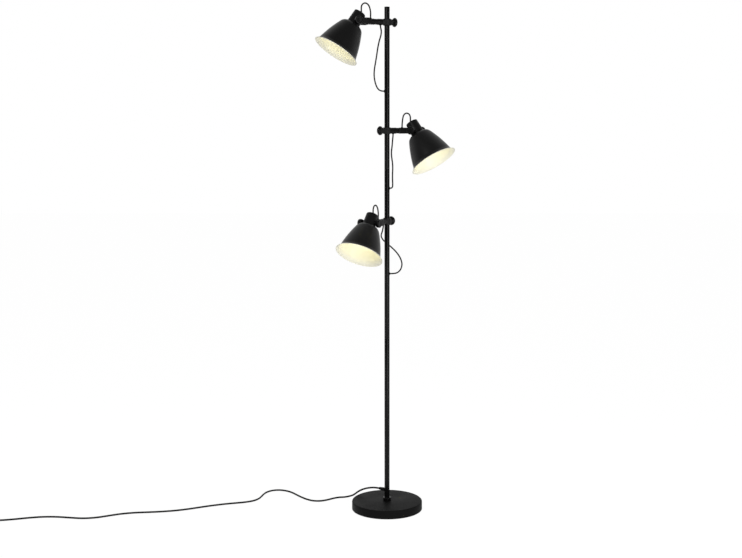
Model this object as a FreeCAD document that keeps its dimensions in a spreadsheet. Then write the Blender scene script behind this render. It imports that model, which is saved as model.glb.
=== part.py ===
# Tree floor lamp: three bell shades on clamp arms at three heights of one slim
# steel pole, on a round weighted base, with a mains cord, foot switch and plug.
# Millimetres, +Z up. Origin: centre of the base's underside, on the floor.
# The pole stands on the Z axis. The lamp is seen from -Y, with +X to the right.

import FreeCAD, Part
import math
import os
import Sketcher
from FreeCAD import Placement, Rotation, Vector

SIZES = (
    # round base
    ("base_radius", 109.5, "outer radius of the spun cover"),
    ("base_top", 27.0, "height of the cover's flat top above the floor"),
    ("cover_sheet", 1.5, "sheet thickness of the cover"),
    ("cover_edge", 3.5, "outer rounding between the cover's top and side"),
    ("cover_lift", 1.0, "gap under the cover's skirt"),
    ("pad_thickness", 2.0, "felt pad under the base"),
    ("pad_radius", 105.0, "outer radius of the felt pad"),
    ("weight_gap", 0.3, "gap between the iron weight and the cover"),
    ("weight_chamfer", 3.0, "chamfer on the weight's top edge"),
    ("recess_radius", 16.0, "recess for the nut, under the weight"),
    ("recess_top", 14.0, "height of the recess above the floor"),
    # stud that holds the pole down
    ("stud_radius", 5.0, "threaded stud"),
    ("stud_foot", 3.0, "height of the stud's lower end"),
    ("stud_top", 47.0, "height of the stud's upper end"),
    ("stud_chamfer", 0.8, "chamfer on the stud's ends"),
    ("stud_clearance", 0.2, "radial clearance of the stud's holes"),
    ("thread_clearance", 0.05, "radial clearance of a screw in its thread"),
    ("washer_radius", 11.0, "foot washer"),
    ("washer_thickness", 2.0, "foot washer"),
    ("nut_flats", 17.0, "foot nut across flats"),
    ("nut_depth", 8.0, "foot nut"),
    ("collar_radius", 12.5, "collar at the foot of the pole"),
    ("collar_height", 10.0, "collar at the foot of the pole"),
    ("collar_chamfer", 1.5, "top edge of the collar"),
    ("slip_clearance", 0.05, "radial clearance of a sleeve on the pole"),
    # pole
    ("pole_radius", 8.0, "outer radius of the pole tube"),
    ("pole_wall", 1.2, "wall of the pole tube"),
    ("seam_low", 540.0, "height of the lower seam of the pole"),
    ("seam_high", 1060.0, "height of the upper seam of the pole"),
    ("pole_head", 43.8, "length of the pole tube above the top arm"),
    ("cap_flange", 1.2, "thickness of the cap on the pole"),
    ("cap_spigot", 15.0, "depth of the cap's spigot"),
    ("insert_clearance", 0.05, "radial clearance of the inserts in the tube"),
    ("coupler_length", 50.0, "coupler inside each seam"),
    ("coupler_bore", 4.8, "radius of the coupler's bore, for the leads"),
    # leads, their holes and grommets
    ("lead_radius", 2.15, "lead to each shade"),
    ("lead_hole", 3.5, "radius of the leads' holes in the pole"),
    ("grommet_flange", 4.4, "radius of the grommet's flange"),
    ("grommet_reach", 9.3, "distance of the grommet's face from the pole axis"),
    ("grommet_bore", 2.3, "radius of the grommet's bore"),
    ("grommet_clearance", 0.05, "radial clearance of the grommet in its hole"),
    ("top_hole", 1292.0, "height of the top lead's hole"),
    ("middle_hole", 1001.5, "height of the middle lead's hole"),
    ("bottom_hole", 741.0, "height of the bottom lead's hole"),
    ("inner_lead_radius", 2.1, "leads inside the pole"),
    ("inner_lead_gap", 0.13, "gap between the leads inside the pole"),
    ("splice_foot", 90.0, "height of the splice's lower end"),
    ("splice_length", 40.0, "sleeve where the leads join the mains cord"),
    ("splice_radius", 5.5, "sleeve where the leads join the mains cord"),
    # mains cord and its bushing
    ("cord_radius", 2.8, "mains cord"),
    ("cord_heading", 143.9, "direction in which the cord leaves the pole"),
    ("cord_exit", 60.0, "height at which the cord leaves the pole"),
    ("bushing_bore", 2.85, "radius of the bushing's bore"),
    ("bushing_flange", 6.0, "radius of the bushing's flange"),
    ("bushing_face", 10.5, "distance of the flange's face from the pole axis"),
    ("bushing_neck", 4.55, "radius of the neck in the pole's hole"),
    ("bushing_neck_clearance", 0.05, "radial clearance of the neck in its hole"),
    ("bushing_inner", 6.3, "distance of the neck's inner end from the pole axis"),
    ("bushing_root", 5.2, "radius of the tapered sleeve at the flange"),
    ("bushing_tip", 3.9, "radius of the tapered sleeve at its end"),
    ("bushing_length", 13.5, "length of the tapered sleeve"),
    # arms
    ("top_arm", 1495.0, "height of the top arm"),
    ("middle_arm", 1174.5, "height of the middle arm"),
    ("bottom_arm", 901.5, "height of the bottom arm"),
    ("top_heading", -157.6, "direction of the top arm, from +X"),
    ("middle_heading", -32.0, "direction of the middle arm, from +X"),
    ("bottom_heading", -120.4, "direction of the bottom arm, from +X"),
    ("liner_wall", 1.45, "wall of the liner between pole and clamp"),
    ("liner_half", 10.0, "half the liner's height"),
    ("liner_flange", 11.0, "radius of the liner's end flanges"),
    ("liner_flange_thickness", 1.0, "liner's end flanges"),
    ("block_wall", 2.95, "wall of the clamp block round the liner"),
    ("block_clearance", 0.05, "radial clearance of the clamp block on the liner"),
    ("block_play", 0.1, "end play of the clamp block between the flanges"),
    ("boss_radius", 8.8, "bosses on both sides of the clamp block"),
    ("boss_reach", 17.0, "distance of the bosses' faces from the pole axis"),
    ("socket_radius", 6.0, "socket for the arm in the clamp block"),
    ("socket_floor", 12.8, "distance of the socket's floor from the pole axis"),
    # clamp knob
    ("clamp_stud", 4.0, "radius of the clamp knob's stud"),
    ("clamp_stud_gap", 0.1, "gap between the stud's end and the liner"),
    ("clamp_knob_gap", 0.2, "gap between the knob and the clamp block"),
    ("clamp_knob_collar", 8.5, "radius of the knob at the block"),
    ("clamp_knob_waist", 10.0, "radius of the knob behind its collar"),
    ("clamp_knob_shoulder", 13.0, "radius of the knob at its shoulder"),
    ("clamp_knob_radius", 14.0, "largest radius of the knob"),
    ("clamp_knob_nose", 8.0, "radius of the knob's flat end"),
    ("clamp_knob_round", 5.0, "rounding of the knob's outer edge"),
    ("clamp_knob_length", 13.3, "length of the knob"),
    # arm tube
    ("arm_radius", 8.5, "arm tube"),
    ("ferrule_radius", 9.0, "ferrule and ringed end of the arm"),
    ("ferrule_end", 31.0, "distance of the ferrule's end from the pole axis"),
    ("rings_start", 42.0, "distance of the ringed end from the pole axis"),
    ("ring_groove", 0.5, "depth of the grooves"),
    ("ring_groove_width", 2.0, "width of the grooves"),
    ("ring_groove_first", 46.0, "distance of the first groove from the pole axis"),
    ("ring_groove_last", 57.0, "distance of the last groove from the pole axis"),
    ("arm_end", 61.0, "distance of the arm's end face from the pole axis"),
    ("arm_bore", 5.0, "radius of the arm's bore, for the lead"),
    ("arm_end_wall", 3.0, "thickness of the arm's closed end"),
    ("arm_rivet", 4.0, "radius of the spigot that holds the yoke"),
    ("rivet_clearance", 0.05, "radial clearance of that spigot in the yoke"),
    ("arm_lead_hole", 2.6, "radius of the lead's holes in the arm"),
    ("lead_in", 21.5, "distance of the lower hole from the pole axis"),
    ("lead_out", 52.6, "distance of the upper hole from the pole axis"),
    # yoke and tilt knobs
    ("arm_reach", 102.0, "distance of the tilt pivot from the pole axis"),
    ("yoke_strip", 2.5, "thickness of the yoke's strip"),
    ("yoke_height", 17.5, "width of the yoke's strip"),
    ("yoke_gap", 44.0, "clear width between the yoke's ears"),
    ("yoke_bend", 3.0, "outer radius of the yoke's bends"),
    ("yoke_hole", 2.75, "radius of the screw holes in the ears"),
    ("screw_radius", 2.45, "tilt screws"),
    ("screw_tip", 18.0, "distance of the screws' tips from the shade's axis"),
    ("screw_clearance", 0.05, "radial clearance of the screws in the cup"),
    ("tilt_knob_gap", 0.2, "gap between the tilt knobs and the ears"),
    ("tilt_knob_face", 10.0, "radius of a tilt knob at the ear"),
    ("tilt_knob_radius", 12.0, "largest radius of a tilt knob"),
    ("tilt_knob_flare", 2.5, "length over which a tilt knob widens"),
    ("tilt_knob_length", 12.0, "length of a tilt knob"),
    ("tilt_knob_round", 1.5, "rounding of a tilt knob's end"),
    # heads: t is the distance behind the plane of the shade's mouth
    ("head_pitch", 56.0, "angle of the shade's axis below the horizontal"),
    ("pivot_back", 109.0, "t of the tilt pivot"),
    ("shade_wall", 1.0, "sheet thickness of the shade"),
    ("mouth_radius", 72.6, "shade at its mouth"),
    ("waist_radius", 61.0, "shade behind its flare"),
    ("waist_back", 16.0, "t behind the flare"),
    ("shoulder_radius", 36.5, "shade at its shoulder"),
    ("shoulder_back", 86.0, "t at the shoulder"),
    ("crown_radius", 21.0, "shade's flat crown"),
    ("crown_back", 97.5, "t of the crown's outside"),
    ("crown_hole", 17.0, "radius of the hole in the crown"),
    ("mouth_angle", 58.0, "slope of the shade from its axis, at the mouth"),
    ("waist_angle", 13.5, "slope behind the flare"),
    ("shoulder_angle", 25.0, "slope at the shoulder"),
    ("crown_angle", 82.0, "slope at the crown"),
    ("cup_radius", 20.0, "socket cup at the crown"),
    ("cup_end_radius", 18.0, "socket cup before its rounded end"),
    ("cup_back", 138.0, "t of the cup's end"),
    ("cup_round", 3.0, "rounding of the cup's end"),
    ("cup_wall", 1.5, "wall of the socket cup"),
    ("cup_boss_radius", 5.0, "bosses for the tilt screws"),
    ("cup_boss_gap", 0.2, "gap between a boss and its ear"),
    ("cup_boss_root", 16.6, "distance of a boss's inner end from the axis"),
    ("cup_hole_offset", 5.0, "distance of the lead's hole from the cup's axis"),
    ("cup_lead_hole", 4.0, "radius of the lead's hole in the cup"),
    # lampholder and bulb
    ("holder_radius", 15.5, "body of the lampholder"),
    ("holder_neck", 16.8, "neck in the crown's hole"),
    ("holder_neck_length", 3.5, "length of that neck"),
    ("holder_flange", 20.0, "flange under the crown"),
    ("holder_flange_thickness", 1.8, "flange under the crown"),
    ("holder_skirt", 2.7, "skirt in front of the flange"),
    ("holder_back", 132.0, "t of the lampholder's end"),
    ("holder_floor", 12.0, "thickness of the lampholder's closed end"),
    ("bulb_cap", 13.2, "radius of the bulb's screw cap"),
    ("bulb_cap_clearance", 0.1, "radial clearance of the cap in the holder"),
    ("bulb_cap_length", 27.0, "length of the bulb's screw cap"),
    ("bulb_contact", 5.0, "radius of the bulb's end contact"),
    ("bulb_neck", 12.6, "radius of the glass at the cap"),
    ("bulb_neck_length", 4.0, "straight glass at the cap"),
    ("bulb_radius", 22.5, "glass globe"),
    ("bulb_back", 62.0, "t of the globe's centre"),
    ("bulb_shoulder", 17.5, "radius at which the globe turns into the neck"),
    # foot switch
    ("switch_x", -1287.0, "place of the switch"),
    ("switch_y", -126.0, "place of the switch"),
    ("switch_length", 72.0, "foot switch"),
    ("switch_width", 32.0, "foot switch"),
    ("switch_split", 11.0, "height of the seam between base and cover"),
    ("switch_top", 18.0, "height of the cover's top"),
    ("switch_corner", 8.0, "rounding of the switch's upright edges"),
    ("switch_edge", 2.0, "rounding of the cover's top edge"),
    ("switch_nub", 4.2, "radius of the cord sleeves on the switch"),
    ("switch_nub_length", 8.0, "length of the cord sleeves"),
    ("switch_cord", 6.5, "height of the cord at the switch"),
    ("switch_well", 11.0, "radius of the well under the button"),
    ("switch_well_floor", 4.0, "height of the well's floor"),
    ("button_radius", 9.0, "push button"),
    ("button_clearance", 0.3, "radial clearance of the push button"),
    ("button_flange", 10.6, "radius of the button's flange"),
    ("button_flange_thickness", 2.0, "button's flange"),
    ("button_gap", 0.1, "gap between the flange and the cover"),
    ("button_proud", 2.6, "height of the button above the cover"),
    # coil of spare cord and its tie
    ("coil_x", -1377.0, "centre of the coil"),
    ("coil_radius", 37.0, "radius at which the cord enters the coil"),
    ("coil_pitch", 6.2, "distance between neighbouring turns"),
    ("coil_layer", 6.15, "distance between the two layers"),
    ("coil_turns_in", 2.0, "turns up to the smallest radius"),
    ("coil_turns_out", 2.25, "turns from the smallest radius to the end"),
    ("coil_lift", 3.9, "height of the lower layer's centre"),
    ("tie_band", 0.8, "thickness of the tie"),
    ("tie_width", 8.0, "width of the tie"),
    ("tie_slack", 0.5, "gap between the tie and the cord, sideways"),
    ("tie_slack_up", 0.25, "gap between the tie and the cord, upright"),
    # plug
    ("plug_length", 36.0, "two-pin plug"),
    ("plug_width", 35.0, "two-pin plug, across both pins"),
    ("plug_thickness", 14.0, "two-pin plug"),
    ("plug_edge", 4.0, "rounding of the plug's long edges"),
    ("plug_nub", 4.2, "radius of the plug's cord sleeve"),
    ("plug_nub_length", 10.0, "length of the plug's cord sleeve"),
    ("plug_back", 46.0, "distance from the coil's exit to the plug's sleeve"),
    ("pin_radius", 2.0, "plug pins"),
    ("pin_length", 19.0, "plug pins"),
    ("pin_spacing", 18.6, "distance between the pins"),
    ("pin_chamfer", 0.6, "ends of the pins"),
)

doc = FreeCAD.newDocument("TreeFloorLamp")
sheet = doc.addObject("Spreadsheet::Sheet", "Sizes")
for row, (alias, value, note) in enumerate(SIZES, start=1):
    sheet.set("A%d" % row, note)
    sheet.set("B%d" % row, str(value))
    sheet.setAlias("B%d" % row, alias)
doc.recompute()


# ---------------------------------------------------------------- sizes

class Size:
    """A length or an angle: its number, and the expression that gives it."""

    def __init__(self, number, text):
        self.number = float(number)
        self.text = text

    @staticmethod
    def of(value):
        if isinstance(value, Size):
            return value
        return Size(value, "(%r)" % float(value))

    def join(self, sign, other, number):
        return Size(number, "(%s %s %s)" % (self.text, sign, other.text))

    def __add__(self, other):
        other = Size.of(other)
        return self.join("+", other, self.number + other.number)

    def __sub__(self, other):
        other = Size.of(other)
        return self.join("-", other, self.number - other.number)

    def __mul__(self, other):
        other = Size.of(other)
        return self.join("*", other, self.number * other.number)

    def __truediv__(self, other):
        other = Size.of(other)
        return self.join("/", other, self.number / other.number)

    def __neg__(self):
        return Size(-self.number, "(0 - %s)" % self.text)


def root(size):
    return Size(math.sqrt(size.number), "sqrt(%s)" % size.text)


def sine(size):
    return Size(math.sin(math.radians(size.number)), "sin(%s)" % size.text)


def cosine(size):
    return Size(math.cos(math.radians(size.number)), "cos(%s)" % size.text)


class Lamp:
    """The sheet's sizes by name."""

    def __getattr__(self, alias):
        return Size(sheet.get(alias), "Sizes." + alias)


lamp = Lamp()


def bind(thing, path, size):
    thing.setExpression(path, Size.of(size).text)


# ------------------------------------------------------- features and parts

nodes = []


def node(thing, name, placement=None):
    """Keep this object as one finished piece of the lamp."""
    thing.Label = name
    if placement is not None:
        thing.Placement = placement
    nodes.append(thing)
    return thing


def own_plane(body, role):
    return [plane for plane in body.Origin.OriginFeatures if plane.Role == role][0]


def sketch_on(body, name, role):
    sketch = body.newObject("Sketcher::SketchObject", name)
    sketch.AttachmentSupport = [(own_plane(body, role), "")]
    sketch.MapMode = "FlatFace"
    return sketch


def fix_point(sketch, edge, end, across, up):
    """Hold one point of a sketch at (across, up) from its origin."""
    for size, kind, axis in ((across, "DistanceX", -2), (up, "DistanceY", -1)):
        size = Size.of(size)
        if size.number == 0.0:
            sketch.addConstraint(Sketcher.Constraint("PointOnObject", edge, end, axis))
        else:
            index = sketch.addConstraint(
                Sketcher.Constraint(kind, -1, 1, edge, end, size.number))
            bind(sketch, "Constraints[%d]" % index, size)


def outline(sketch, points):
    """Draw a closed outline. A point is (across, up), or, where an arc leads to
    it from the point before, (across, up, radius, turn): turn is 1 for an arc
    that turns left and -1 for one that turns right."""
    count = len(points)
    first = sketch.GeometryCount
    ends = []
    for number in range(count):
        here, there = points[number], points[(number + 1) % count]
        start = Vector(Size.of(here[0]).number, Size.of(here[1]).number, 0)
        stop = Vector(Size.of(there[0]).number, Size.of(there[1]).number, 0)
        if len(there) == 2:
            sketch.addGeometry(Part.LineSegment(start, stop), False)
            ends.append((1, 2))
            continue
        radius, turn = Size.of(there[2]).number, there[3]
        chord = stop - start
        half = chord.Length / 2
        left = Vector(-chord.y, chord.x, 0).normalize()
        rise = radius - math.sqrt(max(radius * radius - half * half, 0.0))
        through = (start + stop) / 2 - left * (turn * rise)
        if turn > 0:
            sketch.addGeometry(Part.Arc(start, through, stop), False)
            ends.append((1, 2))
        else:
            sketch.addGeometry(Part.Arc(stop, through, start), False)
            ends.append((2, 1))
    for number in range(count):
        before = (number - 1) % count
        sketch.addConstraint(Sketcher.Constraint(
            "Coincident", first + before, ends[before][1], first + number, ends[number][0]))
        fix_point(sketch, first + number, ends[number][0], points[number][0], points[number][1])
        if len(points[number]) == 4:
            radius = Size.of(points[number][2])
            index = sketch.addConstraint(
                Sketcher.Constraint("Radius", first + before, radius.number))
            bind(sketch, "Constraints[%d]" % index, radius)


def ring(sketch, across, up, radius):
    """Draw a circle with its centre at (across, up)."""
    radius = Size.of(radius)
    centre = Vector(Size.of(across).number, Size.of(up).number, 0)
    edge = sketch.addGeometry(Part.Circle(centre, Vector(0, 0, 1), radius.number), False)
    fix_point(sketch, edge, 3, across, up)
    index = sketch.addConstraint(Sketcher.Constraint("Radius", edge, radius.number))
    bind(sketch, "Constraints[%d]" % index, radius)


def turned(name, points):
    """A piece turned about its own Z axis from an outline of (radius, height)."""
    body = doc.addObject("PartDesign::Body", name)
    sketch = sketch_on(body, name + "_profile", "XZ_Plane")
    outline(sketch, points)
    turn = body.newObject("PartDesign::Revolution", name + "_turn")
    turn.Profile = sketch
    turn.ReferenceAxis = (sketch, ["V_Axis"])
    turn.Angle = 360
    return body


def layer(body, name, kind, role, draw, length):
    """A pad or a pocket, equal on both sides of one of the body's planes."""
    sketch = sketch_on(body, name + "_sketch", role)
    draw(sketch)
    feature = body.newObject("PartDesign::" + kind, name)
    feature.Profile = sketch
    feature.SideType = "Symmetric"
    bind(feature, "Length", length)
    return feature


def rounded(body, name, kind, feature, size, wanted):
    """A fillet or a chamfer on the edges of a feature that are wanted."""
    doc.recompute()
    names = ["Edge%d" % (number + 1)
             for number, edge in enumerate(feature.Shape.Edges) if wanted(edge)]
    result = body.newObject("PartDesign::" + kind, name)
    result.Base = (feature, names)
    bind(result, "Radius" if kind == "Fillet" else "Size", size)
    return result


ALONG = {"X": Rotation(Vector(0, 1, 0), 90),
         "-X": Rotation(Vector(0, 1, 0), -90),
         "Y": Rotation(Vector(1, 0, 0), -90),
         "-Y": Rotation(Vector(1, 0, 0), 90),
         "Z": Rotation()}


def seat(thing, across, along, up):
    for axis, size in zip("xyz", (across, along, up)):
        bind(thing, "Placement.Base." + axis, size)


def rod(name, radius, axis, low, high, across=(0, 0)):
    """A round bar along X, Y or Z, from low to high on that axis."""
    low, high = Size.of(low), Size.of(high)
    bar = doc.addObject("Part::Cylinder", name)
    bind(bar, "Radius", radius)
    bind(bar, "Height", high - low)
    bar.Placement = Placement(Vector(), ALONG[axis])
    one, two = across
    seat(bar, *{"X": (low, one, two), "Y": (one, low, two), "Z": (one, two, low)}[axis])
    return bar


def box(name, low, high):
    """A block between two corners."""
    low = [Size.of(size) for size in low]
    high = [Size.of(size) for size in high]
    solid = doc.addObject("Part::Box", name)
    for side, start, stop in zip(("Length", "Width", "Height"), low, high):
        bind(solid, side, stop - start)
    seat(solid, *low)
    return solid


def fused(name, shapes):
    joint = doc.addObject("Part::MultiFuse", name)
    joint.Shapes = shapes
    joint.Refine = True
    return joint


def drilled(name, solid, tools):
    """Cut the tools out of the solid, one after the other."""
    for number, tool in enumerate(tools, start=1):
        last = number == len(tools)
        result = doc.addObject("Part::Cut", name if last else "%s_cut%d" % (name, number))
        result.Base = solid
        result.Tool = tool
        solid = result
    return solid


def group(name, shapes):
    bundle = doc.addObject("Part::Compound", name)
    bundle.Links = shapes
    return bundle


# ------------------------------------------------------------ cords and leads

def tube(name, points, radius, bends=None):
    """A cord: straight runs joined by tangent arcs, as a solid tube. bends gives
    the radius at the points where something holds the cord in a tight bend."""
    bends = bends or {}
    points = [Vector(*point) for point in points]
    edges, radii = [], []
    here = points[0]
    for number in range(1, len(points) - 1):
        before, corner, after = points[number - 1:number + 2]
        inward = (corner - before).normalize()
        outward = (after - corner).normalize()
        turn = inward.getAngle(outward)
        shorter = min((corner - before).Length, (after - corner).Length)
        bend = bends.get(number, 0.45 * shorter / math.tan(turn / 2))
        reach = bend * math.tan(turn / 2)
        start, stop = corner - inward * reach, corner + outward * reach
        middle = (start + stop) / 2
        to_corner = (corner - middle).normalize()
        through = middle + to_corner * (bend * (1 - math.cos(turn / 2)))
        edges.append(Part.LineSegment(here, start).toShape())
        edges.append(Part.Arc(start, through, stop).toShape())
        radii.append((bend, number))
        here = stop
    edges.append(Part.LineSegment(here, points[-1]).toShape())
    return swept(name, edges, radius, (points[1] - points[0]).normalize(),
                 "bend radii " + " ".join("%.0f" % bend for bend, number in radii))


def swept(name, edges, radius, direction, remark):
    """A round tube along a wire of edges, checked against section times length."""
    path = Part.Wire(edges)
    section = Part.Wire([Part.Circle(edges[0].Vertexes[0].Point, direction, radius).toShape()])
    solid = path.makePipeShell([section], True, False)
    if solid.Volume < 0:
        solid.reverse()
    ideal = math.pi * radius * radius * path.Length
    print("%s: length %.1f, volume %.1f, section x length %.1f, least %s"
          % (name, path.Length, solid.Volume, ideal, remark))
    cord = doc.addObject("Part::Feature", name)
    cord.Shape = solid
    return cord


def curve_arcs(points, tangents):
    """Two tangent arcs between each pair of points that have given directions."""
    edges = []
    for first, last, leave, arrive in zip(points, points[1:], tangents, tangents[1:]):
        gap = last - first
        both = leave + arrive
        spread = 2 * (1 - leave.dot(arrive))
        if spread < 1e-9:
            reach = gap.dot(gap) / (4 * gap.dot(arrive))
        else:
            reach = (-gap.dot(both) + math.sqrt(gap.dot(both) ** 2 + spread * gap.dot(gap))) / spread
        middle = (first + leave * reach + last - arrive * reach) / 2
        for start, stop, along in ((first, middle, leave), (middle, last, None)):
            chord = stop - start
            if along is None:
                along = -arrive
                chord = -chord
                start, stop = stop, start
            unit = Vector(chord).normalize()
            side = along - unit * along.dot(unit)
            if side.Length < 1e-7:
                edges.append((start, stop, None))
                continue
            bulge = chord.Length / 2 * math.tan(along.getAngle(chord) / 2)
            edges.append((start, stop, start + chord / 2 + side.normalize() * bulge))
    shapes = []
    here = points[0]
    for start, stop, through in edges:
        if start.distanceToPoint(here) > stop.distanceToPoint(here):
            start, stop = stop, start
        shapes.append((Part.LineSegment(start, stop) if through is None
                       else Part.Arc(start, through, stop)).toShape())
        here = stop
    return shapes


# ----------------------------------------------------------------- round base

rest = lamp.base_top - lamp.cover_sheet
weight_radius = lamp.base_radius - lamp.cover_sheet - lamp.weight_gap
stud_hole = lamp.stud_radius + lamp.stud_clearance
stud_thread = lamp.stud_radius + lamp.thread_clearance

node(turned("base_pad", [
    (0, 0), (lamp.pad_radius, 0), (lamp.pad_radius, lamp.pad_thickness),
    (0, lamp.pad_thickness)]),
    "base_pad")

node(turned("base_weight", [
    (lamp.recess_radius, lamp.pad_thickness), (weight_radius, lamp.pad_thickness),
    (weight_radius, rest - lamp.weight_chamfer), (weight_radius - lamp.weight_chamfer, rest),
    (stud_hole, rest), (stud_hole, lamp.recess_top), (lamp.recess_radius, lamp.recess_top)]),
    "base_weight")

node(turned("base_cover", [
    (lamp.base_radius, lamp.cover_lift),
    (lamp.base_radius, lamp.base_top - lamp.cover_edge),
    (lamp.base_radius - lamp.cover_edge, lamp.base_top, lamp.cover_edge, 1),
    (stud_hole, lamp.base_top), (stud_hole, rest),
    (lamp.base_radius - lamp.cover_edge, rest),
    (lamp.base_radius - lamp.cover_sheet, lamp.base_top - lamp.cover_edge,
     lamp.cover_edge - lamp.cover_sheet, -1),
    (lamp.base_radius - lamp.cover_sheet, lamp.cover_lift)]),
    "base_cover")

sleeve_bore = lamp.pole_radius + lamp.slip_clearance
collar_top = lamp.base_top + lamp.collar_height
node(turned("foot_collar", [
    (sleeve_bore, lamp.base_top), (lamp.collar_radius, lamp.base_top),
    (lamp.collar_radius, collar_top - lamp.collar_chamfer),
    (lamp.collar_radius - lamp.collar_chamfer, collar_top), (sleeve_bore, collar_top)]),
    "foot_collar")

node(turned("foot_stud", [
    (0, lamp.stud_foot), (lamp.stud_radius - lamp.stud_chamfer, lamp.stud_foot),
    (lamp.stud_radius, lamp.stud_foot + lamp.stud_chamfer),
    (lamp.stud_radius, lamp.stud_top - lamp.stud_chamfer),
    (lamp.stud_radius - lamp.stud_chamfer, lamp.stud_top), (0, lamp.stud_top)]),
    "foot_stud")

washer_foot = lamp.recess_top - lamp.washer_thickness
node(turned("foot_washer", [
    (stud_hole, washer_foot), (lamp.washer_radius, washer_foot),
    (lamp.washer_radius, lamp.recess_top), (stud_hole, lamp.recess_top)]),
    "foot_washer")

nut_blank = doc.addObject("Part::Prism", "foot_nut_blank")
nut_blank.Polygon = 6
bind(nut_blank, "Circumradius", lamp.nut_flats / root(Size.of(3)))
bind(nut_blank, "Height", lamp.nut_depth)
bind(nut_blank, "Placement.Base.z", washer_foot - lamp.nut_depth)
node(drilled("foot_nut", nut_blank, [
    rod("foot_nut_thread", stud_thread, "Z", washer_foot - lamp.nut_depth, washer_foot)]),
    "foot_nut")

# ----------------------------------------------------------------------- pole

pole_inner = lamp.pole_radius - lamp.pole_wall
insert_radius = pole_inner - lamp.insert_clearance
pole_top = lamp.top_arm + lamp.pole_head


def pole_tube(name, low, high):
    return turned(name, [(pole_inner, low), (lamp.pole_radius, low),
                         (lamp.pole_radius, high), (pole_inner, high)])


def wall_hole(name, radius, height, heading):
    """A drill from the pole's axis outwards at a height, towards a heading."""
    drill = doc.addObject("Part::Cylinder", name)
    bind(drill, "Radius", radius)
    bind(drill, "Height", lamp.pole_radius * 2)
    drill.Placement = Placement(Vector(), Rotation(Vector(0, 0, 1), heading).multiply(ALONG["X"]))
    seat(drill, 0, 0, height)
    return drill


heading_out = lamp.cord_heading.number
RIGHT, LEFT = 0.0, 180.0
node(drilled("pole_lower", pole_tube("pole_lower_tube", lamp.base_top, lamp.seam_low), [
    wall_hole("bushing_hole", lamp.bushing_neck + lamp.bushing_neck_clearance,
              lamp.cord_exit, heading_out)]), "pole_lower")
node(drilled("pole_middle", pole_tube("pole_middle_tube", lamp.seam_low, lamp.seam_high), [
    wall_hole("bottom_lead_hole", lamp.lead_hole, lamp.bottom_hole, RIGHT),
    wall_hole("middle_lead_hole", lamp.lead_hole, lamp.middle_hole, RIGHT)]), "pole_middle")
node(drilled("pole_upper", pole_tube("pole_upper_tube", lamp.seam_high, pole_top), [
    wall_hole("top_lead_hole", lamp.lead_hole, lamp.top_hole, LEFT)]), "pole_upper")


def insert(name, bore, low, high):
    return turned(name, [(bore, low), (insert_radius, low), (insert_radius, high), (bore, high)])


half_coupler = lamp.coupler_length / 2
node(group("pole_inserts", [
    insert("foot_insert", stud_thread, lamp.base_top, lamp.stud_top),
    insert("lower_coupler", lamp.coupler_bore,
           lamp.seam_low - half_coupler, lamp.seam_low + half_coupler),
    insert("upper_coupler", lamp.coupler_bore,
           lamp.seam_high - half_coupler, lamp.seam_high + half_coupler)]), "pole_inserts")

node(turned("pole_top_cap", [
    (0, pole_top - lamp.cap_spigot), (insert_radius, pole_top - lamp.cap_spigot),
    (insert_radius, pole_top), (lamp.pole_radius, pole_top),
    (lamp.pole_radius, pole_top + lamp.cap_flange), (0, pole_top + lamp.cap_flange)]),
    "pole_top_cap")


def grommet(name, height, heading):
    """A rubber ring in a lead's hole, saddled on the pole."""
    plug = lamp.lead_hole - lamp.grommet_clearance
    face = drilled(name + "_face", turned(name + "_disc", [
        (lamp.grommet_bore, pole_inner / 2), (lamp.grommet_flange, pole_inner / 2),
        (lamp.grommet_flange, lamp.grommet_reach), (lamp.grommet_bore, lamp.grommet_reach)]), [
            rod(name + "_saddle", lamp.pole_radius, "X", -20, 20)])
    neck = turned(name + "_neck", [
        (lamp.grommet_bore, pole_inner), (plug, pole_inner),
        (plug, lamp.grommet_reach), (lamp.grommet_bore, lamp.grommet_reach)])
    whole = fused(name, [face, neck])
    whole.Placement = Placement(
        Vector(0, 0, height.number),
        Rotation(Vector(0, 0, 1), heading).multiply(ALONG["X"]))
    return whole


node(group("pole_grommets", [
    grommet("top_grommet", lamp.top_hole, LEFT),
    grommet("middle_grommet", lamp.middle_hole, RIGHT),
    grommet("bottom_grommet", lamp.bottom_hole, RIGHT)]), "pole_grommets")

bushing_end = lamp.bushing_face + lamp.bushing_length
bushing_face = drilled("cord_bushing_face", turned("cord_bushing_disc", [
    (lamp.bushing_bore, pole_inner / 2), (lamp.bushing_flange, pole_inner / 2),
    (lamp.bushing_flange, lamp.bushing_face), (lamp.bushing_root, lamp.bushing_face),
    (lamp.bushing_tip, bushing_end), (lamp.bushing_bore, bushing_end)]), [
        rod("cord_bushing_saddle", lamp.pole_radius, "X", -20, 20)])
bushing_neck = turned("cord_bushing_neck", [
    (lamp.bushing_bore, lamp.bushing_inner), (lamp.bushing_neck, lamp.bushing_inner),
    (lamp.bushing_neck, lamp.bushing_face), (lamp.bushing_bore, lamp.bushing_face)])
node(fused("cord_bushing", [bushing_face, bushing_neck]), "cord_bushing", Placement(
    Vector(0, 0, lamp.cord_exit.number),
    Rotation(Vector(0, 0, 1), heading_out).multiply(ALONG["X"])))

splice_top = lamp.splice_foot + lamp.splice_length
node(turned("lead_splice", [
    (0, lamp.splice_foot), (lamp.splice_radius - 1, lamp.splice_foot),
    (lamp.splice_radius, lamp.splice_foot + 1), (lamp.splice_radius, splice_top - 1),
    (lamp.splice_radius - 1, splice_top), (0, splice_top)]), "lead_splice")

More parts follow.
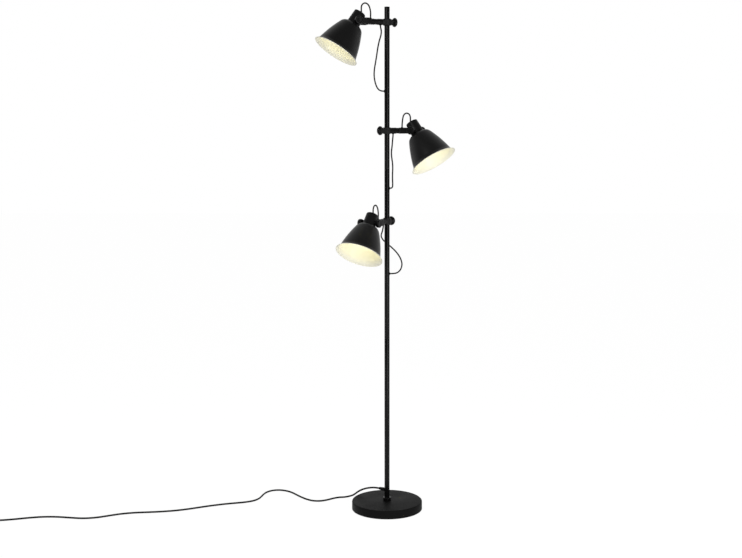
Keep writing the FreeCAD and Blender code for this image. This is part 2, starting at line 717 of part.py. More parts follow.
# Wiring inside the pole: the mains cord's end up to the splice, and one lead
# from the splice to each hole, side by side through the couplers.
inner = lamp.inner_lead_radius.number
ring_radius = (2 * inner + lamp.inner_lead_gap.number) / math.sqrt(3)
start_up = splice_top.number
seam = lamp.pole_radius.number
near, off = ring_radius, (-ring_radius / 2, ring_radius * math.sqrt(3) / 2)
low, mid, high = lamp.bottom_hole.number, lamp.middle_hole.number, lamp.top_hole.number
tight = inner * 2 + 0.1
mains_bend = lamp.bushing_inner.number - 0.2
out_x, out_y = math.cos(math.radians(heading_out)), math.sin(math.radians(heading_out))
exit_z = lamp.cord_exit.number
wiring = [
    tube("bottom_inner_lead", [(near, 0, start_up), (near, 0, low), (seam, 0, low)],
         inner, {1: tight}),
    tube("middle_inner_lead", [
        (off[0], off[1], start_up), (off[0], off[1], low + 20), (near, off[1], low + 50),
        (near, 0, low + 80), (near, 0, mid), (seam, 0, mid)], inner, {4: tight}),
    tube("top_inner_lead", [
        (off[0], -off[1], start_up), (off[0], -off[1], mid + 93), (near, 0, mid + 128),
        (near, 0, high), (-seam, 0, high)], inner, {3: near + seam - 1.5}),
    tube("mains_tail", [
        (out_x * lamp.bushing_inner.number, out_y * lamp.bushing_inner.number, exit_z),
        (0, 0, exit_z), (0, 0, lamp.splice_foot.number)],
        lamp.cord_radius.number, {1: mains_bend})]
node(group("pole_wiring", wiring), "pole_wiring")

# ---------------------------------------------------------------------- heads

liner_radius = sleeve_bore + lamp.liner_wall
block_bore = liner_radius + lamp.block_clearance
block_radius = block_bore + lamp.block_wall
block_half = lamp.liner_half - lamp.liner_flange_thickness - lamp.block_play
stud_tip = liner_radius + lamp.clamp_stud_gap
knob_start = lamp.boss_reach + lamp.clamp_knob_gap
knob_end = knob_start + lamp.clamp_knob_length
ear_inner = lamp.yoke_gap / 2
ear_outer = ear_inner + lamp.yoke_strip
bridge_out = lamp.arm_end + lamp.yoke_strip
rivet_hole = lamp.arm_rivet + lamp.rivet_clearance
cup_boss_end = ear_inner - lamp.cup_boss_gap
screw_hole = lamp.screw_radius + lamp.screw_clearance
crown_inside = lamp.crown_back - lamp.shade_wall
flange_front = crown_inside - lamp.holder_flange_thickness
holder_front = flange_front - lamp.holder_skirt
holder_bore = lamp.bulb_cap + lamp.bulb_cap_clearance
tilt_face = ear_outer + lamp.tilt_knob_gap
tilt_end = tilt_face + lamp.tilt_knob_length


def arc_radius(across, up, steep, flat):
    """Radius of an arc whose chord is (across, up) and whose slope goes from
    steep to flat."""
    return root(across * across + up * up) / (sine((steep - flat) / 2) * 2)


def clamp_liner(name):
    flange = lamp.liner_half - lamp.liner_flange_thickness
    return turned(name, [
        (sleeve_bore, -lamp.liner_half), (lamp.liner_flange, -lamp.liner_half),
        (lamp.liner_flange, -flange), (liner_radius, -flange), (liner_radius, flange),
        (lamp.liner_flange, flange), (lamp.liner_flange, lamp.liner_half),
        (sleeve_bore, lamp.liner_half)])


def clamp_block(name):
    blank = fused(name + "_blank", [
        rod(name + "_sleeve", block_radius, "Z", -block_half, block_half),
        rod(name + "_bosses", lamp.boss_radius, "X", -lamp.boss_reach, lamp.boss_reach)])
    return drilled(name, blank, [
        rod(name + "_bore", block_bore, "Z", -lamp.liner_half, lamp.liner_half),
        rod(name + "_thread", lamp.clamp_stud + lamp.thread_clearance, "X",
            -lamp.boss_reach - 1, -liner_radius / 2),
        rod(name + "_socket", lamp.socket_radius, "X", lamp.socket_floor, lamp.boss_reach + 1)])


def clamp_knob(name):
    crest = knob_end - lamp.clamp_knob_round
    return turned(name, [
        (0, stud_tip), (lamp.clamp_stud, stud_tip), (lamp.clamp_stud, knob_start),
        (lamp.clamp_knob_collar, knob_start), (lamp.clamp_knob_waist, knob_start + 1),
        (lamp.clamp_knob_shoulder, knob_start + 4.5), (lamp.clamp_knob_radius, crest),
        (lamp.clamp_knob_nose + 2.5, knob_end - 0.7), (lamp.clamp_knob_nose, knob_end),
        (0, knob_end)])


def arm_tube(name):
    groove = lamp.ferrule_radius - lamp.ring_groove
    first, last = lamp.ring_groove_first, lamp.ring_groove_last
    spigot = lamp.socket_radius - lamp.insert_clearance
    blank = turned(name + "_blank", [
        (0, lamp.socket_floor), (spigot, lamp.socket_floor), (spigot, lamp.boss_reach),
        (lamp.ferrule_radius, lamp.boss_reach), (lamp.ferrule_radius, lamp.ferrule_end),
        (lamp.arm_radius, lamp.ferrule_end), (lamp.arm_radius, lamp.rings_start),
        (lamp.ferrule_radius, lamp.rings_start), (lamp.ferrule_radius, first),
        (groove, first), (groove, first + lamp.ring_groove_width),
        (lamp.ferrule_radius, first + lamp.ring_groove_width), (lamp.ferrule_radius, last),
        (groove, last), (groove, last + lamp.ring_groove_width),
        (lamp.ferrule_radius, last + lamp.ring_groove_width),
        (lamp.ferrule_radius, lamp.arm_end), (lamp.arm_rivet, lamp.arm_end),
        (lamp.arm_rivet, bridge_out), (0, bridge_out)])
    blank.Placement = Placement(Vector(), ALONG["X"])
    return drilled(name, blank, [
        rod(name + "_bore", lamp.arm_bore, "X", lamp.boss_reach,
            lamp.arm_end - lamp.arm_end_wall),
        rod(name + "_lead_in", lamp.arm_lead_hole, "Z", -lamp.ferrule_radius - 1, 0,
            (lamp.lead_in, 0)),
        rod(name + "_lead_out", lamp.arm_lead_hole, "Z", 0, lamp.ferrule_radius + 1,
            (lamp.lead_out, 0))])


def yoke(name):
    half = lamp.yoke_height / 2
    body = doc.addObject("PartDesign::Body", name)
    side = layer(body, name + "_side", "Pad", "XZ_Plane", lambda sketch: outline(sketch, [
        (lamp.arm_end, -half), (lamp.arm_reach, -half),
        (lamp.arm_reach + half, 0, half, 1), (lamp.arm_reach, half, half, 1),
        (lamp.arm_end, half)]), ear_outer * 2)
    bent = rounded(body, name + "_bends", "Fillet", side, lamp.yoke_bend, lambda edge: (
        edge.BoundBox.XLength < 0.01 and edge.BoundBox.YLength < 0.01
        and abs(edge.BoundBox.XMin - lamp.arm_end.number) < 0.01))
    layer(body, name + "_gap", "Pocket", "XZ_Plane", lambda sketch: outline(sketch, [
        (bridge_out, -half - 1), (lamp.arm_reach + half + 1, -half - 1),
        (lamp.arm_reach + half + 1, half + 1), (bridge_out, half + 1)]), ear_inner * 2)
    layer(body, name + "_screws", "Pocket", "XZ_Plane", lambda sketch: ring(
        sketch, lamp.arm_reach, 0, lamp.yoke_hole), ear_outer * 2 + 2)
    layer(body, name + "_rivet", "Pocket", "YZ_Plane", lambda sketch: ring(
        sketch, 0, 0, rivet_hole), bridge_out * 2 + 2)
    return body


def tilt_knob(name):
    return turned(name, [
        (0, lamp.screw_tip), (lamp.screw_radius, lamp.screw_tip),
        (lamp.screw_radius, tilt_face), (lamp.tilt_knob_face, tilt_face),
        (lamp.tilt_knob_radius, tilt_face + lamp.tilt_knob_flare),
        (lamp.tilt_knob_radius, tilt_end - lamp.tilt_knob_round),
        (lamp.tilt_knob_radius - lamp.tilt_knob_round, tilt_end, lamp.tilt_knob_round, 1),
        (0, tilt_end)])


def shade(name):
    wall = lamp.shade_wall

    def inside(radius, back, angle):
        return radius - wall * cosine(angle), back - wall * sine(angle)

    flare = arc_radius(lamp.mouth_radius - lamp.waist_radius, lamp.waist_back,
                       lamp.mouth_angle, lamp.waist_angle)
    bell = arc_radius(lamp.waist_radius - lamp.shoulder_radius,
                      lamp.shoulder_back - lamp.waist_back,
                      lamp.shoulder_angle, lamp.waist_angle)
    shoulder = arc_radius(lamp.shoulder_radius - lamp.crown_radius,
                          lamp.crown_back - lamp.shoulder_back,
                          lamp.crown_angle, lamp.shoulder_angle)
    return turned(name, [
        (lamp.mouth_radius, 0),
        (lamp.waist_radius, lamp.waist_back, flare, -1),
        (lamp.shoulder_radius, lamp.shoulder_back, bell, 1),
        (lamp.crown_radius, lamp.crown_back, shoulder, 1),
        (lamp.crown_hole, lamp.crown_back), (lamp.crown_hole, crown_inside),
        inside(lamp.crown_radius, lamp.crown_back, lamp.crown_angle),
        inside(lamp.shoulder_radius, lamp.shoulder_back, lamp.shoulder_angle)
        + (shoulder - wall, -1),
        inside(lamp.waist_radius, lamp.waist_back, lamp.waist_angle) + (bell - wall, -1),
        inside(lamp.mouth_radius, Size.of(0), lamp.mouth_angle) + (flare + wall, 1)])


def socket_cup(name):
    wall = lamp.cup_wall
    blank = turned(name + "_blank", [
        (0, lamp.crown_back), (lamp.cup_radius, lamp.crown_back),
        (lamp.cup_end_radius, lamp.cup_back - lamp.cup_round),
        (lamp.cup_end_radius - lamp.cup_round, lamp.cup_back, lamp.cup_round, 1),
        (0, lamp.cup_back)])
    hollow = turned(name + "_hollow", [
        (0, crown_inside), (lamp.cup_radius - wall, crown_inside),
        (lamp.cup_end_radius - wall, lamp.cup_back - lamp.cup_round),
        (lamp.cup_end_radius - lamp.cup_round, lamp.cup_back - wall,
         lamp.cup_round - wall, 1),
        (0, lamp.cup_back - wall)])
    pivot = (0, lamp.pivot_back)
    shell = drilled(name + "_shell", blank, [hollow])
    bossed = fused(name + "_bossed", [
        shell,
        rod(name + "_boss_left", lamp.cup_boss_radius, "Y", lamp.cup_boss_root,
            cup_boss_end, pivot),
        rod(name + "_boss_right", lamp.cup_boss_radius, "Y", -cup_boss_end,
            -lamp.cup_boss_root, pivot)])
    blind = lamp.screw_tip - 0.3
    return drilled(name, bossed, [
        rod(name + "_thread_left", screw_hole, "Y", blind, cup_boss_end + 1, pivot),
        rod(name + "_thread_right", screw_hole, "Y", -cup_boss_end - 1, -blind, pivot),
        rod(name + "_lead_hole", lamp.cup_lead_hole, "Z", lamp.cup_back - wall - 1,
            lamp.cup_back + 1, (-lamp.cup_hole_offset, 0))])


def lampholder(name):
    neck_back = crown_inside + lamp.holder_neck_length
    return turned(name, [
        (holder_bore, holder_front), (lamp.holder_radius, holder_front),
        (lamp.holder_radius, flange_front), (lamp.holder_flange, flange_front),
        (lamp.holder_flange, crown_inside), (lamp.holder_neck, crown_inside),
        (lamp.holder_neck, neck_back), (lamp.holder_radius, neck_back),
        (lamp.holder_radius, lamp.holder_back), (0, lamp.holder_back),
        (0, lamp.holder_back - lamp.holder_floor),
        (holder_bore, lamp.holder_back - lamp.holder_floor)])


def bulb(name):
    turn_back = lamp.bulb_back + root(
        lamp.bulb_radius * lamp.bulb_radius - lamp.bulb_shoulder * lamp.bulb_shoulder)
    cap_back = holder_front + lamp.bulb_cap_length
    return turned(name, [
        (0, lamp.bulb_back - lamp.bulb_radius),
        (lamp.bulb_radius, lamp.bulb_back, lamp.bulb_radius, 1),
        (lamp.bulb_shoulder, turn_back, lamp.bulb_radius, 1),
        (lamp.bulb_neck, holder_front - lamp.bulb_neck_length),
        (lamp.bulb_neck, holder_front), (lamp.bulb_cap, holder_front),
        (lamp.bulb_cap, cap_back - 6), (lamp.bulb_contact, cap_back - 2),
        (lamp.bulb_contact, cap_back), (0, cap_back)])


def head(side, height, heading, hole, hole_heading, start, drop, loop):
    """One arm with its clamp, shade, knobs, bulb and lead. The lead leaves the
    pole straight up to the distance start; drop is its way on to the arm, in the
    lamp's frame; loop is its way from the arm to the cup, as (distance from the
    pole axis, height above the arm)."""
    arm = Placement(Vector(0, 0, height.number), Rotation(Vector(0, 0, 1), heading.number))
    pivot = arm.multiply(Placement(
        Vector(lamp.arm_reach.number, 0, 0),
        Rotation(Vector(0, 1, 0), lamp.head_pitch.number - 90)))
    cone = pivot.multiply(Placement(Vector(0, 0, -lamp.pivot_back.number), Rotation()))

    node(clamp_liner(side + "_clamp_liner"), side + "_clamp_liner", arm)
    node(clamp_block(side + "_clamp_block"), side + "_clamp_block", arm)
    node(clamp_knob(side + "_clamp_knob"), side + "_clamp_knob",
         arm.multiply(Placement(Vector(), ALONG["-X"])))
    node(arm_tube(side + "_arm_tube"), side + "_arm_tube", arm)
    node(yoke(side + "_yoke"), side + "_yoke", arm)
    for hand, way in (("left", "Y"), ("right", "-Y")):
        name = "%s_tilt_knob_%s" % (side, hand)
        node(tilt_knob(name), name, pivot.multiply(Placement(Vector(), ALONG[way])))
    node(socket_cup(side + "_socket_cup"), side + "_socket_cup", cone)
    node(shade(side + "_shade"), side + "_shade", cone)
    node(lampholder(side + "_lampholder"), side + "_lampholder", cone)
    node(bulb(side + "_bulb"), side + "_bulb", cone)

    out = Rotation(Vector(0, 0, 1), hole_heading).multVec(Vector(1, 0, 0))
    lift = Vector(0, 0, hole.number)
    inlet = arm.multVec(Vector(lamp.lead_in.number, 0, 0))
    cup_hole = cone.multVec(Vector(-lamp.cup_hole_offset.number, 0, lamp.cup_back.number))
    points = [out * seam + lift, out * start + lift]
    points += [Vector(*point) for point in drop]
    points += [inlet - Vector(0, 0, lamp.ferrule_radius.number + 4), inlet]
    first_tight = len(points) - 1
    points += [arm.multVec(Vector(lamp.lead_out.number, 0, 0))]
    points += [arm.multVec(Vector(across, 0, up)) for across, up in loop]
    points += [cup_hole + Vector(0, 0, 6.5), cup_hole - Vector(0, 0, 4.6)]
    bend = 2.2 * lamp.lead_radius.number
    node(tube(side + "_lead", [tuple(point) for point in points], lamp.lead_radius.number,
              {first_tight: bend, first_tight + 1: bend}), side + "_lead")


head("top", lamp.top_arm, lamp.top_heading, lamp.top_hole, LEFT, 19.0, [
    (-29.0, -0.4, 1300), (-35.4, -1.2, 1316), (-38.8, -2.4, 1335), (-38.2, -3.4, 1355),
    (-34.6, -4.2, 1375), (-30.8, -5.0, 1397), (-27.8, -5.8, 1419), (-23.2, -6.6, 1440),
    (-17.9, -7.2, 1456), (-16.7, -7.4, 1469)], [
    (52.7, 17.0), (52.4, 25.5), (53.6, 33.6), (55.6, 40.8), (58.7, 47.2), (64.2, 52.3),
    (71.7, 53.3), (78.3, 49.8), (81.8, 43.2), (82.2, 35.5)])
head("middle", lamp.middle_arm, lamp.middle_heading, lamp.middle_hole, RIGHT, 13.2, [
    (16.9, -0.3, 1005.3), (17.2, -1.6, 1013.5), (16.6, -3.2, 1026), (16.4, -5.4, 1043),
    (17.4, -7.6, 1061), (16.6, -9.2, 1078), (13.9, -10.2, 1095), (12.9, -11.0, 1111),
    (15.4, -11.4, 1129), (16.4, -11.6, 1143)], [
    (53.1, 16.5), (53.7, 25.0), (54.8, 33.0), (56.2, 39.8), (58.4, 45.8), (63.9, 50.8),
    (71.4, 51.8), (78.0, 48.3), (81.5, 41.7), (82.0, 34.6)])
head("bottom", lamp.bottom_arm, lamp.bottom_heading, lamp.bottom_hole, RIGHT, 19.0, [
    (31.0, 0.4, 743), (41.4, 1.4, 752), (46.4, 3.0, 767), (43.7, 5.4, 782),
    (36.4, 8.6, 796), (26.8, 12.4, 808), (15.4, 15.6, 819), (3.4, 16.8, 829),
    (-7.6, 14.2, 838), (-14.6, 8.0, 847), (-18.0, -0.8, 855), (-17.4, -9.4, 863),
    (-13.7, -15.4, 873)], [
    (52.3, 16.8), (51.6, 25.4), (52.8, 33.4), (54.9, 40.2), (58.3, 46.3), (63.8, 51.3),
    (71.1, 52.3), (77.7, 48.9), (81.1, 42.3), (81.9, 34.6)])

# ------------------------------------------------------------------ mains cord

cord = lamp.cord_radius.number
floor = cord + 0.05
way = [(out_x * away, out_y * away, up) for away, up in (
    (lamp.bushing_inner.number, exit_z), (31, exit_z), (55, exit_z - 2.2),
    (78, exit_z - 8.5), (99, 43.0), (117, 31.5), (132, 19.0))]
way += [(-121.5, 93.0, 9.6), (-137.0, 103.5, floor + 0.7)]
way += [(x, y, floor) for x, y in (
    (-156, 104), (-174.5, 92), (-192, 76), (-212.5, 65), (-235, 66.5), (-255.5, 81),
    (-274, 102.5), (-291.5, 127), (-308, 152.5), (-328, 172), (-351.5, 182.5), (-375, 178.5),
    (-392, 162), (-401, 138), (-405.5, 112.5), (-411.5, 88), (-425.5, 67.5), (-448.5, 54),
    (-477, 45.5), (-510, 36), (-543.5, 23), (-578.5, 6.5), (-615, -13), (-654, -29.5),
    (-695.5, -40), (-738.5, -46), (-781.5, -50.5), (-821, -62), (-856, -81), (-890, -99),
    (-927, -105.5), (-966, -98.5), (-1008, -90), (-1052, -89.5), (-1094, -99.5),
    (-1134, -113.5), (-1173, -123))]
switch_x, switch_y = lamp.switch_x.number, lamp.switch_y.number
switch_end = lamp.switch_length.number / 2 + lamp.switch_nub_length.number
switch_z = lamp.switch_cord.number
way += [(switch_x + switch_end + 36, switch_y, floor + 0.9),
        (switch_x + switch_end + 17, switch_y, switch_z),
        (switch_x + switch_end, switch_y, switch_z)]
node(tube("mains_cord", way, cord), "mains_cord")

# The spare cord: one tube that spirals in below, climbs in the half turn about
# its smallest radius and spirals out on top, wound round (coil_x, coil_y).
coil_x, coil_y = lamp.coil_x.number, switch_y - lamp.coil_radius.number
pitch, storey = lamp.coil_pitch.number, lamp.coil_layer.number
turns_in, turns_out = lamp.coil_turns_in.number, lamp.coil_turns_out.number
smallest = lamp.coil_radius.number - pitch * turns_in


def coil_point(turns):
    """Centre of the cord after some turns of the coil."""
    angle = math.radians(90) + 2 * math.pi * turns
    away = smallest + pitch * abs(turns - turns_in)
    climb = min(max((turns - turns_in + 0.25) / 0.5, 0.0), 1.0)
    up = lamp.coil_lift.number + storey * (3 - 2 * climb) * climb * climb
    return Vector(coil_x + away * math.cos(angle), coil_y + away * math.sin(angle), up)


def coil_way(turns):
    """Direction of the cord there. It is level at the ends of the climb."""
    step = 1e-4
    before, after = coil_point(turns - step), coil_point(turns + step)
    return (after - before).normalize()


quarter = 0.125
count = int(round((turns_in + turns_out) / quarter))
steps = [number * (turns_in + turns_out) / count for number in range(count + 1)]
coil_points = [coil_point(step) for step in steps]
coil_ways = [coil_way(step) for step in steps]
coil_ways[0], coil_ways[-1] = Vector(-1, 0, 0), Vector(0, -1, 0)
plug_x = coil_points[-1].x
plug_cord = lamp.plug_thickness.number / 2
plug_y = coil_points[-1].y - lamp.plug_back.number
lead_in = [Vector(switch_x - switch_end, switch_y, switch_z),
           Vector(switch_x - switch_end - 2 * cord, switch_y, switch_z)]
lead_out = [Vector(plug_x, plug_y + 2 * cord, plug_cord), Vector(plug_x, plug_y, plug_cord)]
coil_edges = [Part.LineSegment(*lead_in).toShape()]
coil_edges += curve_arcs([lead_in[1]] + coil_points + [lead_out[0]],
                         [Vector(-1, 0, 0)] + coil_ways + [Vector(0, -1, 0)])
coil_edges += [Part.LineSegment(*lead_out).toShape()]

samples, along = [], 0.0
for edge in coil_edges:
    parts = max(int(edge.Length / 1.0), 2)
    for number in range(parts):
        samples.append((along + edge.Length * number / parts, edge.valueAt(
            edge.FirstParameter + (edge.LastParameter - edge.FirstParameter) * number / parts)))
    along += edge.Length
least = min(one.distanceToPoint(two)
            for index, (here, one) in enumerate(samples)
            for there, two in samples[index + 1:] if there - here > 60.0)
node(swept("mains_coil", coil_edges, cord, Vector(-1, 0, 0),
           "gap of the coil to itself %.2f" % (least - 2 * cord)), "mains_coil")

# tie round the bundle, on the side of the coil that is nearest the viewer
bundle_in = smallest + pitch * 0.5 - cord - lamp.tie_slack.number
bundle_out = smallest + pitch * 1.5 + cord + lamp.tie_slack.number
coil_side = lamp.switch_y - lamp.coil_radius
tie_in = (lamp.coil_radius - lamp.coil_pitch * lamp.coil_turns_in + lamp.coil_pitch * 0.5
          - lamp.cord_radius - lamp.tie_slack)
tie_out = (lamp.coil_radius - lamp.coil_pitch * lamp.coil_turns_in + lamp.coil_pitch * 1.5
           + lamp.cord_radius + lamp.tie_slack)
tie_low = lamp.coil_lift - lamp.cord_radius - lamp.tie_slack_up
tie_high = lamp.coil_lift + lamp.coil_layer + lamp.cord_radius + lamp.tie_slack_up
half_tie = lamp.tie_width / 2
tie_blank = box("coil_tie_blank",
                (lamp.coil_x - half_tie, coil_side - tie_out - lamp.tie_band,
                 tie_low - lamp.tie_band),
                (lamp.coil_x + half_tie, coil_side - tie_in + lamp.tie_band,
                 tie_high + lamp.tie_band))
tie_window = box("coil_tie_window",
                 (lamp.coil_x - half_tie - 1, coil_side - tie_out, tie_low),
                 (lamp.coil_x + half_tie + 1, coil_side - tie_in, tie_high))
node(drilled("coil_tie", tie_blank, [tie_window]), "coil_tie")

# ----------------------------------------------------------------- foot switch

here = Placement(Vector(switch_x, switch_y, 0), Rotation())
half_x, half_y = lamp.switch_length / 2, lamp.switch_width / 2


def upright(edge):
    return edge.BoundBox.XLength < 0.01 and edge.BoundBox.YLength < 0.01


def block_body(name, low, high):
    """A block with rounded upright edges, centred on the Z axis."""
    body = doc.addObject("PartDesign::Body", name)
    solid = body.newObject("PartDesign::AdditiveBox", name + "_block")
    bind(solid, "Length", half_x * 2)
    bind(solid, "Width", half_y * 2)
    bind(solid, "Height", high - low)
    seat(solid, -half_x, -half_y, low)
    return body, rounded(body, name + "_corners", "Fillet", solid, lamp.switch_corner, upright)


lower, lower_block = block_body("switch_base_tray", Size.of(0), lamp.switch_split)
tray = drilled("switch_base_well", lower, [
    rod("switch_well", lamp.switch_well, "Z", lamp.switch_well_floor, lamp.switch_split + 1)])
node(fused("switch_base", [
    tray,
    rod("switch_nub_right", lamp.switch_nub, "X", half_x - 1,
        half_x + lamp.switch_nub_length, (0, lamp.switch_cord)),
    rod("switch_nub_left", lamp.switch_nub, "X", -half_x - lamp.switch_nub_length,
        -half_x + 1, (0, lamp.switch_cord))]), "switch_base", here)

upper, upper_block = block_body("switch_cover_lid", lamp.switch_split, lamp.switch_top)
rounded(upper, "switch_cover_edge", "Fillet", upper_block, lamp.switch_edge, lambda edge: (
    edge.BoundBox.ZLength < 0.01 and abs(edge.BoundBox.ZMin - lamp.switch_top.number) < 0.01))
node(drilled("switch_cover", upper, [
    rod("button_hole", lamp.button_radius + lamp.button_clearance, "Z",
        lamp.switch_split - 1, lamp.switch_top + 1)]), "switch_cover", here)

flange_top = lamp.switch_split - lamp.button_gap
button_top = lamp.switch_top + lamp.button_proud
node(turned("switch_button", [
    (0, flange_top - lamp.button_flange_thickness),
    (lamp.button_flange, flange_top - lamp.button_flange_thickness),
    (lamp.button_flange, flange_top), (lamp.button_radius, flange_top),
    (lamp.button_radius, button_top - 0.8), (lamp.button_radius - 0.8, button_top),
    (0, button_top)]), "switch_button", here)

# ------------------------------------------------------------------------ plug

plug = doc.addObject("PartDesign::Body", "plug_body_block")
plug_block = plug.newObject("PartDesign::AdditiveBox", "plug_block")
plug_half = lamp.plug_width / 2
bind(plug_block, "Length", plug_half * 2)
bind(plug_block, "Width", lamp.plug_length)
bind(plug_block, "Height", lamp.plug_thickness)
seat(plug_block, -plug_half, -lamp.plug_nub_length - lamp.plug_length, 0)
rounded(plug, "plug_edges", "Fillet", plug_block, lamp.plug_edge, lambda edge: (
    edge.BoundBox.XLength < 0.01 and edge.BoundBox.ZLength < 0.01))
at_plug = Placement(Vector(plug_x, plug_y, 0), Rotation())
node(fused("plug_body", [
    plug, rod("plug_nub", lamp.plug_nub, "Y", -lamp.plug_nub_length - 1, 0,
              (0, lamp.plug_thickness / 2))]), "plug_body", at_plug)

pin_face = lamp.plug_nub_length + lamp.plug_length


def pin(name, across):
    whole = turned(name, [
        (0, 0), (lamp.pin_radius, 0), (lamp.pin_radius, lamp.pin_length - lamp.pin_chamfer),
        (lamp.pin_radius - lamp.pin_chamfer, lamp.pin_length), (0, lamp.pin_length)])
    whole.Placement = Placement(
        Vector(across, -pin_face.number, plug_cord), ALONG["-Y"])
    return whole


spread = lamp.pin_spacing.number / 2
node(group("plug_pins", [pin("left_pin", -spread), pin("right_pin", spread)]),
     "plug_pins", at_plug)

# ---------------------------------------------------------------------- export

doc.recompute()
for thing in doc.Objects:
    if "Invalid" in thing.State or "Error" in thing.State:
        raise RuntimeError("%s did not compute: %s" % (thing.Label, thing.State))
names = [thing.Label for thing in nodes]
if len(set(names)) != len(names):
    raise RuntimeError("two pieces share a name")
os.makedirs("parts", exist_ok=True)
for thing in nodes:
    shape = thing.Shape
    if shape.isNull() or not shape.isValid() or not shape.Solids:
        raise RuntimeError("%s has no valid solid" % thing.Label)
    if min(solid.Volume for solid in shape.Solids) <= 0:
        raise RuntimeError("%s is inside out" % thing.Label)
for thing in nodes:
    thing.Shape.exportStep("parts/%s.step" % thing.Label)
print("%d pieces, %d solids" % (len(nodes), sum(len(thing.Shape.Solids) for thing in nodes)))
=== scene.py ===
# Tree floor lamp: three bell shades on clamp arms at three heights of one slim
# steel pole, on a round weighted base, with its mains cord, foot switch and plug.
# Metres, +Z up, the base's centre at the origin, seen from -Y. Sizes are typed in
# millimetres, and turned profiles as (radius, height) with a rounding where due.

from math import atan2, cos, pi, radians, sin, tan

import bmesh
import bpy
from mathutils import Matrix, Vector


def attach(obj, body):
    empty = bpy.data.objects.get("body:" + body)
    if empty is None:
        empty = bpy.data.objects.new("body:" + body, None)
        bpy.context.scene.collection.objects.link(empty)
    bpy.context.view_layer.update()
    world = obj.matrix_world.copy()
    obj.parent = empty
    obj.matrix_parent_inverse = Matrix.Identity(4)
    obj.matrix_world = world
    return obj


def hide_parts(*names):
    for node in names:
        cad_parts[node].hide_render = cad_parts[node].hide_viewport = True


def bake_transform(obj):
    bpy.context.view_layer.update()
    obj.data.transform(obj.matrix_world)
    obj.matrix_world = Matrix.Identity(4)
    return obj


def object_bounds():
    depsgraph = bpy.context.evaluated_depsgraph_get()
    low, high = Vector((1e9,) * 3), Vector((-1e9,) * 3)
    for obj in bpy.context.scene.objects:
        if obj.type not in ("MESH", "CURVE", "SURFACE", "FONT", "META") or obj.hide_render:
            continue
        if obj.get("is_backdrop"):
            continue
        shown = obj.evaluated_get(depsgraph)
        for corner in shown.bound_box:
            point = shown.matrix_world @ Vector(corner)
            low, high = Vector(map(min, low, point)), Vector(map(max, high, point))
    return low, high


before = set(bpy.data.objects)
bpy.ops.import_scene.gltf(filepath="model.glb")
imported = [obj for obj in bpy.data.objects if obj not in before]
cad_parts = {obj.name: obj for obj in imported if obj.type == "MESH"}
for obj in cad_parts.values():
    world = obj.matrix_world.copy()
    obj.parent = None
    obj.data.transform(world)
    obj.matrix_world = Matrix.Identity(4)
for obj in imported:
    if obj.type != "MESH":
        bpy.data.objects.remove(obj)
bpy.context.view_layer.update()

scene = bpy.context.scene
MM = 0.001


# ---- base cover
# The base is a spun steel cover over a cast weight. Its flat top rolls over
# into a short upright skirt, and it is powder coated in satin black.


def arc(centre, first, last, radius, steps):
    """Points the short way round a centre, from one end to the other."""
    begin, end = first - centre, last - centre
    start = atan2(begin.y, begin.x)
    turn = (atan2(end.y, end.x) - start + pi) % (2 * pi) - pi
    angles = [start + turn * step / steps for step in range(steps + 1)]
    return [centre + Vector((cos(angle), sin(angle))) * radius for angle in angles]


def rounded(points, steps=6):
    """A profile whose corners are rounded where a third number gives the radius."""
    line = []
    for place, point in enumerate(points):
        here = Vector(point[:2])
        if len(point) < 3 or place in (0, len(points) - 1):
            line.append(here)
            continue
        back = (Vector(points[place - 1][:2]) - here).normalized()
        on = (Vector(points[place + 1][:2]) - here).normalized()
        half, radius = back.angle(on) / 2, point[2]
        centre = here + (back + on).normalized() * (radius / sin(half))
        reach = radius / tan(half)
        line += arc(centre, here + back * reach, here + on * reach, radius, steps)
    return line


def feed(node, **sockets):
    """Values or links for a node's sockets, by name with underscores or as n and a number.

    A node that is given as a value stands for its first output.
    """
    for label, value in sockets.items():
        numbered = label[0] == "n" and label[1:].isdigit()
        socket = node.inputs[int(label[1:]) if numbered else label.replace("_", " ")]
        if isinstance(value, bpy.types.Node):
            value = value.outputs[0]
        if isinstance(value, bpy.types.NodeSocket):
            node.id_data.links.new(value, socket)
        else:
            socket.default_value = value
    return node


def wired(tree, kind, settings=(), **sockets):
    """A new node with its settings made and its sockets fed."""
    node = tree.nodes.new(kind)
    for label, value in dict(settings).items():
        setattr(node, label, value)
    return feed(node, **sockets)


def sum_of(tree, kind, *terms):
    """The result of a sum on numbers and sockets."""
    return wired(tree, "ShaderNodeMath", {"operation": kind},
                 **{"n%d" % place: term for place, term in enumerate(terms)})


def group_of(family, name, inputs, outputs):
    """An empty node group with named inputs and outputs."""
    group = bpy.data.node_groups.new(name, family + "NodeTree")
    for label, kind, *value in inputs:
        socket = group.interface.new_socket(label, in_out="INPUT", socket_type="NodeSocket" + kind)
        if value:
            socket.default_value = value[0]
    for label, kind in outputs:
        group.interface.new_socket(label, in_out="OUTPUT", socket_type="NodeSocket" + kind)
    given = group.nodes.new("NodeGroupInput").outputs
    return group, given, group.nodes.new("NodeGroupOutput")


def ended(tree, shape, finish, result):
    """A geometry tree that puts out the shape as a plain mesh in its finish."""
    whole = wired(tree, "GeometryNodeRealizeInstances", Geometry=shape)
    feed(result, Piece=wired(tree, "GeometryNodeSetMaterial", Geometry=whole, Material=finish))
    tree.is_modifier = True
    return tree


